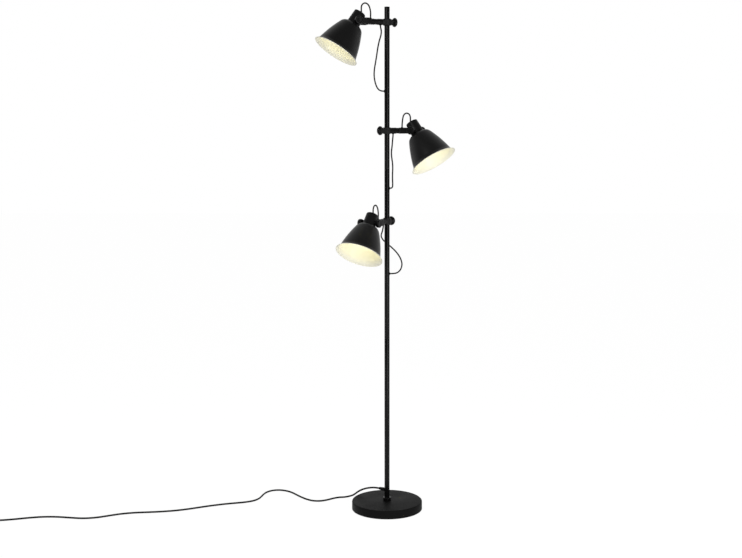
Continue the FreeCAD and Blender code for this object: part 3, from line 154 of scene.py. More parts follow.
def turning_tree():
    """A profile in the XZ plane turned about the Z axis, as a grid laid round it."""
    tree, given, result = group_of("Geometry", "turned piece", [
        ("Profile", "Geometry"), ("Sides", "Int", 96), ("Finish", "Material")],
        [("Piece", "Geometry")])
    count = wired(tree, "GeometryNodeAttributeDomainSize", Geometry=given["Profile"])
    across = sum_of(tree, "ADD", given["Sides"], 1)
    grid = wired(tree, "GeometryNodeMeshGrid", Vertices_X=count, Vertices_Y=across)
    index = wired(tree, "GeometryNodeInputIndex")
    row = sum_of(tree, "FLOOR", sum_of(tree, "DIVIDE", sum_of(tree, "ADD", index, 0.5), across))
    column = sum_of(tree, "SUBTRACT", index, sum_of(tree, "MULTIPLY", row, across))
    angle = sum_of(tree, "MULTIPLY", sum_of(tree, "DIVIDE", column, given["Sides"]), 2 * pi)
    pick = wired(tree, "GeometryNodeSampleIndex", {"data_type": "FLOAT_VECTOR", "domain": "POINT"},
                 Geometry=given["Profile"], Index=row,
                 Value=wired(tree, "GeometryNodeInputPosition"))
    parts = wired(tree, "ShaderNodeSeparateXYZ", n0=pick).outputs
    place = wired(tree, "ShaderNodeCombineXYZ", Z=parts["Z"],
                  X=sum_of(tree, "MULTIPLY", parts["X"], sum_of(tree, "COSINE", angle)),
                  Y=sum_of(tree, "MULTIPLY", parts["X"], sum_of(tree, "SINE", angle)))
    move = wired(tree, "GeometryNodeSetPosition", Geometry=grid, Position=place)
    merge = wired(tree, "GeometryNodeMergeByDistance", Geometry=move, Distance=2e-6)
    smooth = wired(tree, "GeometryNodeSetShadeSmooth", Geometry=merge)
    return ended(tree, smooth, given["Finish"], result)


turning = turning_tree()
STILL = Matrix.Identity(4)


def frozen(piece, place=STILL, crease=32):
    """The piece as a plain mesh with its place in it and its faces outwards."""
    bpy.context.view_layer.update()
    solid = bpy.data.meshes.new_from_object(
        piece.evaluated_get(bpy.context.evaluated_depsgraph_get()))
    piece.modifiers.clear()
    piece.data = solid
    solid.name = piece.name
    if solid.materials and solid.materials[0] is None:
        solid.materials.pop(index=0)
    solid.transform(place)
    solid.calc_loop_triangles()
    volume = 0.0
    for face in solid.loop_triangles:
        a, b, c = (solid.vertices[number].co for number in face.vertices)
        volume += a.cross(b).dot(c)
    if volume < 0:
        solid.flip_normals()
    solid.set_sharp_from_angle(angle=radians(crease))
    return piece


def placed(name, data):
    """A new object in the scene."""
    thing = bpy.data.objects.new(name, data)
    scene.collection.objects.link(thing)
    return thing


def shaped(name, mesh, tree, place, crease, values):
    """The frozen piece that a geometry tree makes of a mesh and its named inputs."""
    piece = placed(name, mesh)
    maker = piece.modifiers.new("shape", "NODES")
    maker.node_group = tree
    for item in tree.interface.items_tree:
        if item.item_type == "SOCKET" and item.in_out == "INPUT" and item.name in values:
            maker[item.identifier] = values[item.name]
    return frozen(piece, place, crease)


def turned(name, points, place, finish, sides=96, crease=32):
    """A turned piece from its profile."""
    profile = bpy.data.meshes.new(name)
    profile.from_pydata([(across * MM, 0, up * MM) for across, up in points],
                        [(number, number + 1) for number in range(len(points) - 1)], [])
    return shaped(name, profile, turning, place, crease, {"Sides": sides, "Finish": finish})


def own_place(tree):
    """The place on a piece, in its own coordinates."""
    return wired(tree, "ShaderNodeTexCoord").outputs["Object"]


def noise(tree, scale, detail, **more):
    """Noise over a piece."""
    return wired(tree, "ShaderNodeTexNoise", Vector=own_place(tree), Scale=scale, Detail=detail,
                 **more)


def spread(tree, mask, low, high, start=0.0, end=1.0):
    """What lies between start and end in a mask, spread from low to high."""
    return wired(tree, "ShaderNodeMapRange", Value=mask, From_Min=start, From_Max=end,
                 To_Min=low, To_Max=high)


def bumped(tree, height, strength, distance):
    """The normal of a surface that a height raises."""
    return wired(tree, "ShaderNodeBump", Height=height, Strength=strength, Distance=distance)


def paint(colour):
    """An opaque colour from its three parts, or from one number for a neutral grey."""
    return (*colour, 1) if isinstance(colour, tuple) else (colour, colour, colour, 1)


def coated_skin():
    """Sprayed coating: a fine orange peel, cloudy gloss and a few rubbed spots."""
    group, given, result = group_of("Shader", "sprayed coat", [
        ("Colour", "Color", paint(0.02)), ("Rubbed Colour", "Color", paint(0.05)),
        ("Peel Size", "Float", 900.0), ("Roughness", "Float", 0.4), ("Rubbing", "Float", 0.3)],
        [("Colour", "Color"), ("Roughness", "Float"), ("Height", "Float")])
    spots = spread(group, noise(group, 95.0, 6.0, Roughness=0.7), 0.0, 1.0, 0.62, 0.78)
    tone = wired(group, "ShaderNodeMix", {"data_type": "RGBA"}, n6=given["Colour"],
                 n7=given["Rubbed Colour"], n0=sum_of(group, "MULTIPLY", spots, given["Rubbing"]))
    haze = spread(group, noise(group, 14.0, 4.0), -0.05, 0.05, 0.3, 0.7)
    feed(result, Colour=tone.outputs[2], Height=noise(group, given["Peel Size"], 2.0),
         Roughness=sum_of(group, "ADD", given["Roughness"], haze))
    return group


def new_finish(name):
    """A finish with its node tree and its main shader."""
    finish = bpy.data.materials.new(name)
    finish.use_nodes = True
    return finish, finish.node_tree, finish.node_tree.nodes["Principled BSDF"]


def skinned(name, group, colour, depth, sheen, **values):
    """A finish that a skin group colours, dulls and raises."""
    finish, tree, body = new_finish(name)
    skin = wired(tree, "ShaderNodeGroup", {"node_tree": group}, Colour=paint(colour),
                 **values).outputs
    feed(body, Specular_IOR_Level=sheen, Base_Color=skin["Colour"], Roughness=skin["Roughness"],
         Normal=bumped(tree, skin["Height"], 0.35, depth))
    finish.diffuse_color = paint(colour)
    return finish


sprayed_coat = coated_skin()


def coated(name, colour, rubbed, roughness, peel=900.0, rubbing=0.3, depth=0.00004, sheen=0.08):
    """A sprayed finish."""
    return skinned(name, sprayed_coat, colour, depth, sheen, Rubbed_Colour=paint(rubbed),
                   Peel_Size=peel, Roughness=roughness, Rubbing=rubbing)


BASE_RADIUS, BASE_TOP, BASE_WALL, BASE_HOLE = 109.5, 27, 1.5, 5.2
base_black = coated("base_black", 0.006, 0.014, 0.52, sheen=0.04)
cover = turned("base_cover_shell", rounded([
    (BASE_HOLE, BASE_TOP - BASE_WALL), (BASE_HOLE, BASE_TOP), (BASE_RADIUS, BASE_TOP, 3.5),
    (BASE_RADIUS, 1.0, 0.3), (BASE_RADIUS - BASE_WALL, 1.0),
    (BASE_RADIUS - BASE_WALL, BASE_TOP - BASE_WALL, 2.0), (BASE_HOLE, BASE_TOP - BASE_WALL)], 8),
    STILL, base_black, 192)
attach(cover, "stand")
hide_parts("base_cover")

# ---- weight and felt under the cover
# A grey iron casting gives the lamp its weight. A black felt disc glued under
# it keeps the floor from being scratched.


def dressed(node, finish):
    """Gives a node that keeps its own shape a better material."""
    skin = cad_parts[node].data.materials
    skin.clear()
    skin.append(finish)


def two_tones(tree, mask, dark, light):
    """A colour that goes from dark to light with a mask."""
    ramp = wired(tree, "ShaderNodeValToRGB", Fac=mask)
    for stop, colour in zip(ramp.color_ramp.elements, (dark, light)):
        stop.color = paint(colour)
    return ramp


cast_iron, tree, body = new_finish("rough_casting")
grain = noise(tree, 380.0, 8.0, Roughness=0.65)
feed(body, Metallic=0.6, Roughness=spread(tree, grain, 0.45, 0.8),
     Base_Color=two_tones(tree, grain, (0.035, 0.034, 0.033), (0.16, 0.155, 0.15)),
     Normal=bumped(tree, grain, 0.6, 0.0004))
dressed("base_weight", cast_iron)

felt, tree, body = new_finish("pressed_felt")
fibre = noise(tree, 1500.0, 6.0, Roughness=0.7, Distortion=1.5)
feed(body, Roughness=0.95, Sheen_Weight=0.3, Normal=bumped(tree, fibre, 0.8, 0.0003),
     Base_Color=two_tones(tree, fibre, (0.008, 0.008, 0.009), (0.05, 0.05, 0.052)))
dressed("base_pad", felt)

# ---- stud, nut, washer, inserts
# The pole is held down by a threaded stud with a hexagon nut and a washer, and
# its tube sections are joined over turned inserts. All are zinc plated steel.

zinc_plate, tree, body = new_finish("zinc_plate")
turned_lines = wired(tree, "ShaderNodeMapping", Vector=own_place(tree), Scale=(60.0, 60.0, 2500.0))
lines = wired(tree, "ShaderNodeTexNoise", Vector=turned_lines, Scale=1.0, Detail=3.0)
feed(body, Metallic=1.0, Roughness=spread(tree, lines, 0.22, 0.45),
     Base_Color=two_tones(tree, noise(tree, 220.0, 4.0), (0.42, 0.43, 0.46), (0.66, 0.66, 0.64)),
     Normal=bumped(tree, lines, 0.3, 0.0001))
for node in ("foot_stud", "foot_nut", "foot_washer", "pole_inserts"):
    dressed(node, zinc_plate)

# ---- foot collar
# A short turned steel ring, black like the pole, slips over the pole's foot and
# hides the joint where it stands on the cover.

pole_black = coated("pole_black", 0.003, 0.008, 0.2, sheen=0.13)
collar = turned("foot_collar_ring", rounded([
    (8.05, 32), (8.05, BASE_TOP), (12.5, BASE_TOP), (12.5, 37, 1.6), (8.05, 37, 0.3),
    (8.05, 32)]), STILL, pole_black)
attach(collar, "stand")
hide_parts("foot_collar")

# ---- pole
# Three lengths of 16 mm steel tube, powder coated, screwed end to end over
# couplers. Each end is broken a little, so a seam shows as a hair line.

POLE_RADIUS, POLE_BORE, POLE_TOP = 8.0, 6.8, 1538.8
for node, low, high in (("pole_lower", BASE_TOP, 540.0), ("pole_middle", 540.0, 1060.0),
                        ("pole_upper", 1060.0, POLE_TOP)):
    middle = (low + high) / 2
    tube = turned(node + "_tube", rounded([
        (POLE_BORE, middle), (POLE_BORE, low), (POLE_RADIUS, low, 0.35),
        (POLE_RADIUS, high, 0.35), (POLE_BORE, high), (POLE_BORE, middle)], 4),
        STILL, pole_black)
    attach(tube, "stand")
    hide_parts(node)

# ---- cap and inner
# A moulded black cap is pressed into the pole's upper end. The wiring and its
# splice sleeve are inside the tube.


def moulded_skin():
    """Moulded plastic or rubber: fine spark grain and faint handling marks."""
    group, given, result = group_of("Shader", "moulded skin", [
        ("Colour", "Color", paint(0.02)), ("Grain Size", "Float", 1400.0),
        ("Roughness", "Float", 0.45), ("Handling", "Float", 0.3)],
        [("Colour", "Color"), ("Roughness", "Float"), ("Height", "Float")])
    grain = wired(group, "ShaderNodeTexVoronoi", Vector=own_place(group), Scale=given["Grain Size"])
    marks = spread(group, noise(group, 55.0, 5.0), 0.0, 1.0, 0.45, 0.7)
    held = sum_of(group, "MULTIPLY", marks, given["Handling"])
    lighter = wired(group, "ShaderNodeMix", {"data_type": "RGBA", "blend_type": "ADD"},
                    n0=held, n6=given["Colour"], n7=paint(0.008))
    smoothed = sum_of(group, "MULTIPLY", held, -0.25)
    feed(result, Colour=lighter.outputs[2], Height=grain,
         Roughness=sum_of(group, "ADD", given["Roughness"], smoothed))
    return group


moulded = moulded_skin()


def moulding(name, colour, roughness, grain=1400.0, handling=0.3, depth=0.00003, sheen=0.1):
    """A moulded plastic or rubber finish."""
    return skinned(name, moulded, colour, depth, sheen,
                   Grain_Size=grain, Roughness=roughness, Handling=handling)


cap_black = moulding("cap_black", 0.005, 0.4)
cap = turned("pole_top_plug", rounded([
    (0, 1523.8), (6.75, 1523.8, 0.6), (6.75, POLE_TOP), (POLE_RADIUS, POLE_TOP),
    (POLE_RADIUS, 1540.0, 0.7), (0, 1540.0)]), STILL, cap_black)
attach(cap, "stand")
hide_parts("pole_top_cap")

dressed("pole_wiring", moulding("wire_black", 0.01, 0.5, grain=2200.0))
dressed("lead_splice", moulding("splice_sleeve", (0.02, 0.02, 0.021), 0.6, grain=900.0))

# ---- grommets
# Each lead leaves the pole through a black rubber ring that is snapped into a
# drilled hole and has a soft rounded lip.


def at(x, y, z):
    """A shift, in millimetres."""
    return Matrix.Translation((x * MM, y * MM, z * MM))


def about(axis, angle):
    """A turn about an axis, in degrees."""
    return Matrix.Rotation(radians(angle), 4, axis)


rubber_black = moulding("rubber_black", 0.006, 0.55, grain=1800.0)
# Each hole's height and heading.
HOLES = {"top": (1292.0, 180), "middle": (1001.5, 0), "bottom": (741.0, 0)}
TO_X = about("Y", 90)
for side, (height, heading) in HOLES.items():
    ring = turned(side + "_grommet_ring", rounded([
        (2.3, 8.3), (2.3, 7.0), (3.45, 7.0), (3.45, 7.4), (4.4, 7.4), (4.4, 9.3, 0.7),
        (2.3, 9.3, 0.5), (2.3, 8.3)]),
        at(0, 0, height) @ about("Z", heading) @ TO_X, rubber_black, 48)
    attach(ring, "stand")
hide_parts("pole_grommets")

# ---- cord bushing at foot
# A tapered rubber sleeve keeps the mains cord from kinking where it leaves the
# pole. Its flange sits on the tube, and raised ribs run round the taper.


def rib_tree():
    """Rings in a row along Z, from a first to a last radius."""
    tree, given, result = group_of("Geometry", "row of ribs", [
        ("Base", "Geometry"), ("Count", "Int"), ("Start", "Float"), ("Pitch", "Float"),
        ("First Radius", "Float"), ("Last Radius", "Float"), ("Height", "Float"),
        ("Finish", "Material")], [("Piece", "Geometry")])
    first = wired(tree, "ShaderNodeCombineXYZ", Z=given["Start"])
    step = wired(tree, "ShaderNodeCombineXYZ", Z=given["Pitch"])
    line = wired(tree, "GeometryNodeMeshLine", Count=given["Count"], Start_Location=first,
                 Offset=step)
    circle = wired(tree, "GeometryNodeCurvePrimitiveCircle", Resolution=72, Radius=1.0)
    section = wired(tree, "GeometryNodeCurvePrimitiveCircle", Resolution=12,
                    Radius=sum_of(tree, "DIVIDE", given["Height"], given["First Radius"]))
    ring = wired(tree, "GeometryNodeCurveToMesh", Curve=circle, Profile_Curve=section)
    smooth = wired(tree, "GeometryNodeSetShadeSmooth", Geometry=ring)
    size = spread(tree, wired(tree, "GeometryNodeInputIndex"), given["First Radius"],
                  given["Last Radius"], 0.0, sum_of(tree, "SUBTRACT", given["Count"], 1.0))
    row = wired(tree, "GeometryNodeInstanceOnPoints", Points=line, Instance=smooth, Scale=size)
    return ended(tree, row, given["Finish"], result)


rib_row = rib_tree()


def ribbed(name, place, finish, count, start, pitch, first, last, height):
    """Raised ribs round a sleeve, along its axis."""
    return shaped(name, bpy.data.meshes.new(name), rib_row, place, 60, {
        "Count": count, "Start": start * MM, "Pitch": pitch * MM, "First Radius": first * MM,
        "Last Radius": last * MM, "Height": height * MM, "Finish": finish})


CORD_OUT = radians(143.9)
at_bushing = at(0, 0, 60) @ Matrix.Rotation(CORD_OUT, 4, "Z") @ TO_X
bushing = turned("cord_bushing_sleeve", rounded([
    (2.85, 15), (2.85, 6.3), (4.5, 6.3), (4.5, 7.4), (6.0, 7.4), (6.0, 10.5, 0.8), (5.0, 10.5, 0.4),
    (3.75, 30.0, 0.6), (2.85, 30.0, 0.3), (2.85, 15)]), at_bushing, rubber_black, 72)
bushing_ribs = ribbed("cord_bushing_ribs", at_bushing, rubber_black, count=7, start=12.4,
                      pitch=2.5, first=4.75, last=3.85, height=0.75)
for piece in (bushing, bushing_ribs):
    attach(piece, "stand")
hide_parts("cord_bushing")

# ---- clamp liners
# Each arm turns and slides on a black nylon liner, a flanged ring that holds
# the clamp block off the painted pole.

# Each arm's height and heading, and its own frame, with X along the arm.
HEADS = {"top": (1495.0, -157.6), "middle": (1174.5, -32.0), "bottom": (901.5, -120.4)}
ARM = {side: at(0, 0, height) @ about("Z", heading) for side, (height, heading) in HEADS.items()}
nylon_black = moulding("nylon_black", 0.006, 0.5, grain=1100.0)
for side in HEADS:
    liner = turned(side + "_liner_ring", rounded([
        (8.05, 0), (8.05, -10), (11.0, -10, 0.35), (11.0, -9), (9.5, -9), (9.5, 9), (11.0, 9),
        (11.0, 10, 0.35), (8.05, 10, 0.2), (8.05, 0)]), ARM[side], nylon_black, 72)
    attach(liner, side + "_carriage")
    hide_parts(side + "_clamp_liner")

# ---- clamp blocks
# A die cast block grips the liner. It is a short upright sleeve with a boss on
# both sides, one for the arm and one for the clamp knob, with soft cast edges.

block_grey = coated("block_grey", 0.014, 0.03, 0.42, peel=1200.0)
for side in HEADS:
    block = turned("sleeve", rounded([
        (0, -8.9), (12.6, -8.9, 1.0), (12.6, 8.9, 1.0), (0, 8.9)]), STILL, block_grey, 72)
    boss = turned("boss", rounded([
        (0, -17.05), (8.9, -17.05, 0.9), (8.9, 17.05, 0.9), (0, 17.05)]), TO_X, block_grey, 72)
    bore = turned("bore", [(0, -12), (9.5, -12), (9.5, 12), (0, 12)], STILL, block_grey, 72)
    for kind, tool in (("UNION", boss), ("DIFFERENCE", bore)):
        step = block.modifiers.new(kind.lower(), "BOOLEAN")
        step.operation, step.object, step.solver = kind, tool, "EXACT"
    skin = block.modifiers.new("skin", "REMESH")
    skin.mode, skin.voxel_size, skin.use_smooth_shade = "VOXEL", 0.42 * MM, True
    soft = block.modifiers.new("soft edges", "SMOOTH")
    soft.factor, soft.iterations = 0.5, 5
    block.name = side + "_clamp_casting"
    frozen(block, ARM[side], 60)
    block.data.materials.clear()
    block.data.materials.append(block_grey)
    for tool in (boss, bore):
        bpy.data.objects.remove(tool)
    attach(block, side + "_arm")
    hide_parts(side + "_clamp_block")

# ---- clamp knobs
# A round moulded knob on a steel stud is screwed into the block's back boss and
# presses the liner against the pole.

knob_black = moulding("knob_black", 0.003, 0.32, grain=1600.0, handling=0.4)
for side in HEADS:
    knob = turned(side + "_clamp_grip", rounded([
        (0, 9.6), (4.0, 9.6), (4.0, 17.2), (8.5, 17.2, 0.4), (9.6, 18.8, 1.5), (13.0, 21.6, 2.2),
        (14.0, 25.4, 2.6), (11.0, 29.6, 2.4), (8.2, 30.5, 0.5), (7.4, 30.1, 0.4), (0, 29.7)], 8),
        ARM[side] @ about("Y", -90), knob_black)
    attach(knob, side + "_clamp_screw")
    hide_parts(side + "_clamp_knob")

# ---- arm tubes
# A short steel tube with a ferrule at the clamp and a ringed end, where a rivet
# holds the yoke. Two small bushings take the lead in below and out on top.

LEAD_IN, LEAD_OUT = 21.5, 52.6
arm_black = coated("arm_black", 0.006, 0.014, 0.34)
for side in HEADS:
    tube = turned(side + "_arm_barrel", rounded([
        (0, 13), (5.9, 13), (5.9, 17), (9.0, 17, 0.5), (9.0, 31, 0.5), (8.4, 31), (8.4, 42),
        (9.0, 42, 0.5), (9.0, 46, 0.35), (8.3, 46), (8.3, 48), (9.0, 48, 0.35), (9.0, 51.3, 0.35),
        (8.3, 51.3), (8.3, 53.3), (9.0, 53.3, 0.35), (9.0, 57, 0.35), (8.3, 57), (8.3, 59),
        (9.0, 59, 0.35), (9.0, 61, 0.4), (4.2, 61), (4.2, 63.5), (5.6, 63.5, 0.3), (4.4, 64.9, 1.0),
        (0, 65.1)], 4), ARM[side] @ TO_X, arm_black)
    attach(tube, side + "_arm")
    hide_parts(side + "_arm_tube")
    for hole, across, turn in (("in", LEAD_IN, 180), ("out", LEAD_OUT, 0)):
        bush = turned("%s_lead_bush_%s" % (side, hole), rounded([
            (2.2, 8.9), (2.2, 6.0), (3.4, 6.0), (3.4, 8.6), (4.0, 8.6), (4.0, 10.0, 0.6),
            (2.2, 10.0, 0.4), (2.2, 8.9)]),
            ARM[side] @ at(across, 0, 0) @ about("X", turn), rubber_black, 40)
        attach(bush, side + "_arm")

# ---- yokes
# One steel strip, 17.5 by 2.5 mm, bent to a U with rounded ears. The arm is
# riveted to its middle and the head tilts between its ears.


def grid_faces(rows, across, round_rows=False, round_across=False):
    """Faces between the points of a grid, joined end to end where it goes round."""
    return [(row * across + step, row * across + (step + 1) % across,
             (row + 1) % rows * across + (step + 1) % across, (row + 1) % rows * across + step)
            for row in range(rows if round_rows else rows - 1)
            for step in range(across if round_across else across - 1)]


def sheet_piece(name, points, faces, finish):
    """A smooth piece from points in millimetres and faces."""
    mesh = bpy.data.meshes.new(name)
    mesh.from_pydata([(x * MM, y * MM, z * MM) for x, y, z in points], [], faces)
    mesh.materials.append(finish)
    mesh.polygons.foreach_set("use_smooth", [True] * len(mesh.polygons))
    return placed(name, mesh)


def welded(piece, distance):
    """Joins points of the piece that meet."""
    piece.modifiers.new("merge", "WELD").merge_threshold = distance * MM


def walled(piece, thickness, side, edge, segments, even):
    """Gives a sheet its thickness, on one side of its points, and breaks its edges."""
    wall = piece.modifiers.new("wall", "SOLIDIFY")
    wall.thickness, wall.offset, wall.use_even_offset = thickness * MM, side, even
    edges = piece.modifiers.new("edges", "BEVEL")
    edges.width, edges.segments = edge * MM, segments
    edges.limit_method, edges.angle_limit = "ANGLE", radians(50)


PIVOT_OUT, YOKE_BACK, EAR_SIDE, HALF_STRIP, BEND = 102, 61, 24.5, 8.75, 3.5
ear = [(PIVOT_OUT + HALF_STRIP * sin(radians(turn)), EAR_SIDE, HALF_STRIP * cos(radians(turn)))
       for turn in (90, 84, 76, 67, 57, 46, 34, 22, 10, 0)]
ear += [(88, EAR_SIDE, HALF_STRIP), (76, EAR_SIDE, HALF_STRIP)]
ear += [(YOKE_BACK + BEND - BEND * sin(radians(turn)),
         EAR_SIDE - BEND + BEND * cos(radians(turn)), HALF_STRIP) for turn in range(0, 91, 15)]
ear += [(YOKE_BACK, 14, HALF_STRIP), (YOKE_BACK, 7, HALF_STRIP)]
strip = ear + [(YOKE_BACK, 0, HALF_STRIP)] + [(x, -y, half) for x, y, half in reversed(ear)]
levels = (-1.0, -0.6, -0.2, 0.2, 0.6, 1.0)
for side in HEADS:
    yoke = sheet_piece(side + "_yoke_strip",
                       [(x, y, half * level) for x, y, half in strip for level in levels],
                       grid_faces(len(strip), len(levels)), arm_black)
    welded(yoke, 0.02)
    walled(yoke, thickness=2.5, side=-1.0, edge=0.45, segments=3, even=True)
    frozen(yoke, ARM[side])
    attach(yoke, side + "_arm")
    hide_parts(side + "_yoke")

# ---- tilt knobs
# The head is held between the ears by two knobs with steel screws. Each has a
# collar at the ear, a short round grip and a shallow dish in its face.

# The head's frame at its tilt axis, with Z from the shade's mouth to the cup.
TILT_AT_REST = 56
PIVOT = {side: ARM[side] @ at(PIVOT_OUT, 0, 0) @ about("Y", TILT_AT_REST - 90) for side in HEADS}
for side in HEADS:
    for hand, turn in (("left", -90), ("right", 90)):
        knob = turned("%s_tilt_grip_%s" % (side, hand), rounded([
            (0, 18.2), (2.4, 18.2), (2.4, 24.7), (10.0, 24.7, 0.5), (10.6, 26.0, 0.6),
            (12.0, 27.4, 1.0), (12.0, 36.7, 2.4), (7.6, 36.7, 0.5), (6.8, 36.2, 0.4),
            (0, 35.9)], 8), PIVOT[side] @ about("X", turn), knob_black, 80)
        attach(knob, "%s_%s_screw" % (side, hand))
        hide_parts("%s_tilt_knob_%s" % (side, hand))

# ---- socket cups
# A drawn steel cup covers the lampholder behind the shade. Two threaded bosses
# take the tilt screws, and a rubber ring takes the lead through its end.

# The head's frame again, from the middle of the shade's mouth.
CONE = {side: PIVOT[side] @ at(0, 0, -109) for side in HEADS}
LEAD_ASIDE, CUP_END = -5, 138
cup_black = coated("cup_black", 0.007, 0.016, 0.36)


def one_piece(name, parts):
    """Joins finished parts of one piece and keeps their materials."""
    whole, finishes = bmesh.new(), []
    for part in parts:
        start = len(whole.faces)
        whole.from_mesh(part.data)
        whole.faces.ensure_lookup_table()
        slots = []
        for finish in part.data.materials:
            if finish not in finishes:
                finishes.append(finish)
            slots.append(finishes.index(finish))
        for face in whole.faces[start:]:
            face.material_index = slots[face.material_index]
    joined = bpy.data.meshes.new(name)
    whole.to_mesh(joined)
    whole.free()
    for finish in finishes:
        joined.materials.append(finish)
    for part in parts:
        bpy.data.objects.remove(part)
    return placed(name, joined)


for side in HEADS:
    shell = turned("cup", rounded([
        (0, 136.5), (16.5, 136.5, 1.8), (18.5, 97.6), (20.0, 97.6, 0.4), (18.0, CUP_END, 1.6),
        (0, CUP_END)], 8), CONE[side], cup_black)
    bosses = [turned("boss", rounded([(0, 16.6), (5.2, 16.6), (5.2, 21.8, 0.4), (0, 21.8)]),
                     PIVOT[side] @ about("X", turn), cup_black, 48) for turn in (-90, 90)]
    cup = one_piece(side + "_socket_shell", [shell, *bosses])
    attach(cup, side + "_head")
    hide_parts(side + "_socket_cup")
    ring = turned(side + "_cup_ring", rounded([
        (2.9, 137.8), (2.9, 136.2), (4.1, 136.2), (4.1, 137.9), (5.3, 137.9), (5.3, 139.4, 0.7),
        (2.9, 139.4, 0.5), (2.9, 137.8)]), CONE[side] @ at(LEAD_ASIDE, 0, 0), rubber_black, 48)
    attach(ring, side + "_head")

# ---- shades
# Each shade is spun from 1 mm sheet: a flat crown, a full shoulder, a long bell
# and a flared mouth with a rolled bead. It is satin black outside, and cream
# white enamel inside and on the bead.

shade_black = coated("shade_black", 0.007, 0.014, 0.36, peel=1100.0, rubbing=0.25, sheen=0.13)
shade_cream = coated("shade_cream", (0.86, 0.84, 0.71), (0.85, 0.82, 0.68), 0.38, peel=700.0,
                     rubbing=0.4, depth=0.00002, sheen=0.4)
# From the mouth to the crown: (radius, height) and slope, then how each stretch
# between them bows, -1 or 1, and its number of steps.
CORNERS = (((71.0, 1.0), 58), ((61.0, 16), 13.5), ((36.5, 86), 25), ((21.0, 97.5), 82))
BOWS = ((-1, 14), (1, 26), (1, 16))


def bow(start, end, turn, side, steps):
    """Points on the arc between two points whose slope changes by a turn."""
    first, last = Vector(start), Vector(end)
    chord = last - first
    radius = chord.length / (2 * abs(sin(radians(turn) / 2)))
    rise = (radius * radius - chord.length_squared / 4) ** 0.5
    centre = (first + last) / 2 + Vector((-chord.y, chord.x)).normalized() * rise * side
    return arc(centre, first, last, radius, steps)[1:]


def bell_line(corners, bows):
    """A line through corners, each stretch bowed its own way."""
    line = [Vector(corners[0][0])]
    for (start, slope), (end, next_slope), (side, steps) in zip(corners, corners[1:], bows):
        line += bow(start, end, slope - next_slope, side, steps)
    return line


# The inner face's corners lie 1 mm behind the outer ones, square to the slope.
inside = [((across - cos(radians(slope)), up - sin(radians(slope))), slope)
          for (across, up), slope in reversed(CORNERS)]
profile = bell_line(CORNERS, BOWS) + [Vector((17.0, 97.5)), Vector((17.0, 96.5))]
profile += bell_line(inside, [(-side, steps) for side, steps in reversed(BOWS)])
profile += [Vector(CORNERS[0][0])]
for side in HEADS:
    shell = turned("bell", profile, STILL, shade_black, 160, 40)
    shell.data.materials.append(shade_cream)
    for face in shell.data.polygons:
        out = Vector((face.center.x, face.center.y, 0)).normalized()
        face.material_index = 0 if face.normal.dot(out) + face.normal.z > 0 else 1
    shell.data.transform(CONE[side])
    bead = turned("bead", [(70.7 + 0.8 * cos(radians(turn)), 1.1 + 0.8 * sin(radians(turn)))
                           for turn in range(0, 361, 30)], CONE[side], shade_cream, 160, 60)
    shade = one_piece(side + "_shade_bell", [shell, bead])
    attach(shade, side + "_head")
    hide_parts(side + "_shade")

# ---- lampholders
# A moulded holder for a screw cap goes through the crown. Its flange holds the
# shade against the cup.

holder_white = moulding("holder_white", (0.62, 0.60, 0.55), 0.4, grain=1200.0, handling=0.2,
                        sheen=0.5)
for side in HEADS:
    holder = turned(side + "_holder_body", rounded([
        (0, 120), (13.3, 120), (13.3, 92.0, 0.4), (15.5, 92.0, 0.6), (15.5, 94.7),
        (20.0, 94.7, 0.6), (20.0, 96.5), (16.8, 96.5), (16.8, 100), (15.5, 100), (15.5, 132, 0.8),
        (0, 132)]), CONE[side], holder_white, 72)
    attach(holder, side + "_head")
    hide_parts(side + "_lampholder")

# ---- bulbs
# A 45 mm opal glass globe, lit and warm, on a neck that is cemented into a
# nickel plated screw cap.

opal_lit, tree, body = new_finish("opal_glass_lit")
opal_lit.cycles.emission_sampling = "FRONT"
cloud = noise(tree, 60.0, 3.0)
feed(body, Roughness=0.18, Emission_Strength=2.6,
     Base_Color=two_tones(tree, cloud, (0.84, 0.82, 0.76), (0.90, 0.88, 0.83)),
     Emission_Color=two_tones(tree, cloud, (1.0, 0.93, 0.60), (1.0, 0.96, 0.68)))

nickel, tree, body = new_finish("nickel_plate")
cloud = noise(tree, 300.0, 4.0)
feed(body, Metallic=1.0, Roughness=spread(tree, cloud, 0.16, 0.34),
     Base_Color=two_tones(tree, cloud, (0.60, 0.57, 0.50), (0.74, 0.71, 0.63)))

CAP_START = 92
globe = [(22.5 * sin(radians(turn)), 62 - 22.5 * cos(radians(turn))) for turn in range(0, 130, 5)]
globe += rounded([
    globe[-1], (13.4, 84.0, 5.0), (12.6, 88.0, 2.0), (12.6, CAP_START), (13.1, 92.4), (13.1, 113),
    (5.0, 117), (5.0, 119), (0, 119)])[1:]
for side in HEADS:
    bulb = turned(side + "_bulb_globe", globe, STILL, opal_lit)
    bulb.data.materials.append(nickel)
    for face in bulb.data.polygons:
        face.material_index = 1 if face.center.z > CAP_START * MM else 0
    bulb.data.transform(CONE[side])
    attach(bulb, side + "_head")
    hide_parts(side + "_bulb")

# ---- leads
# A thin round lead feeds each head. It leaves the pole, climbs slack to the arm,
# runs inside it, and makes an upright loop over the joint to the socket cup.

sheath_black = moulding("sheath_black", 0.006, 0.45, grain=2600.0, depth=0.00002)
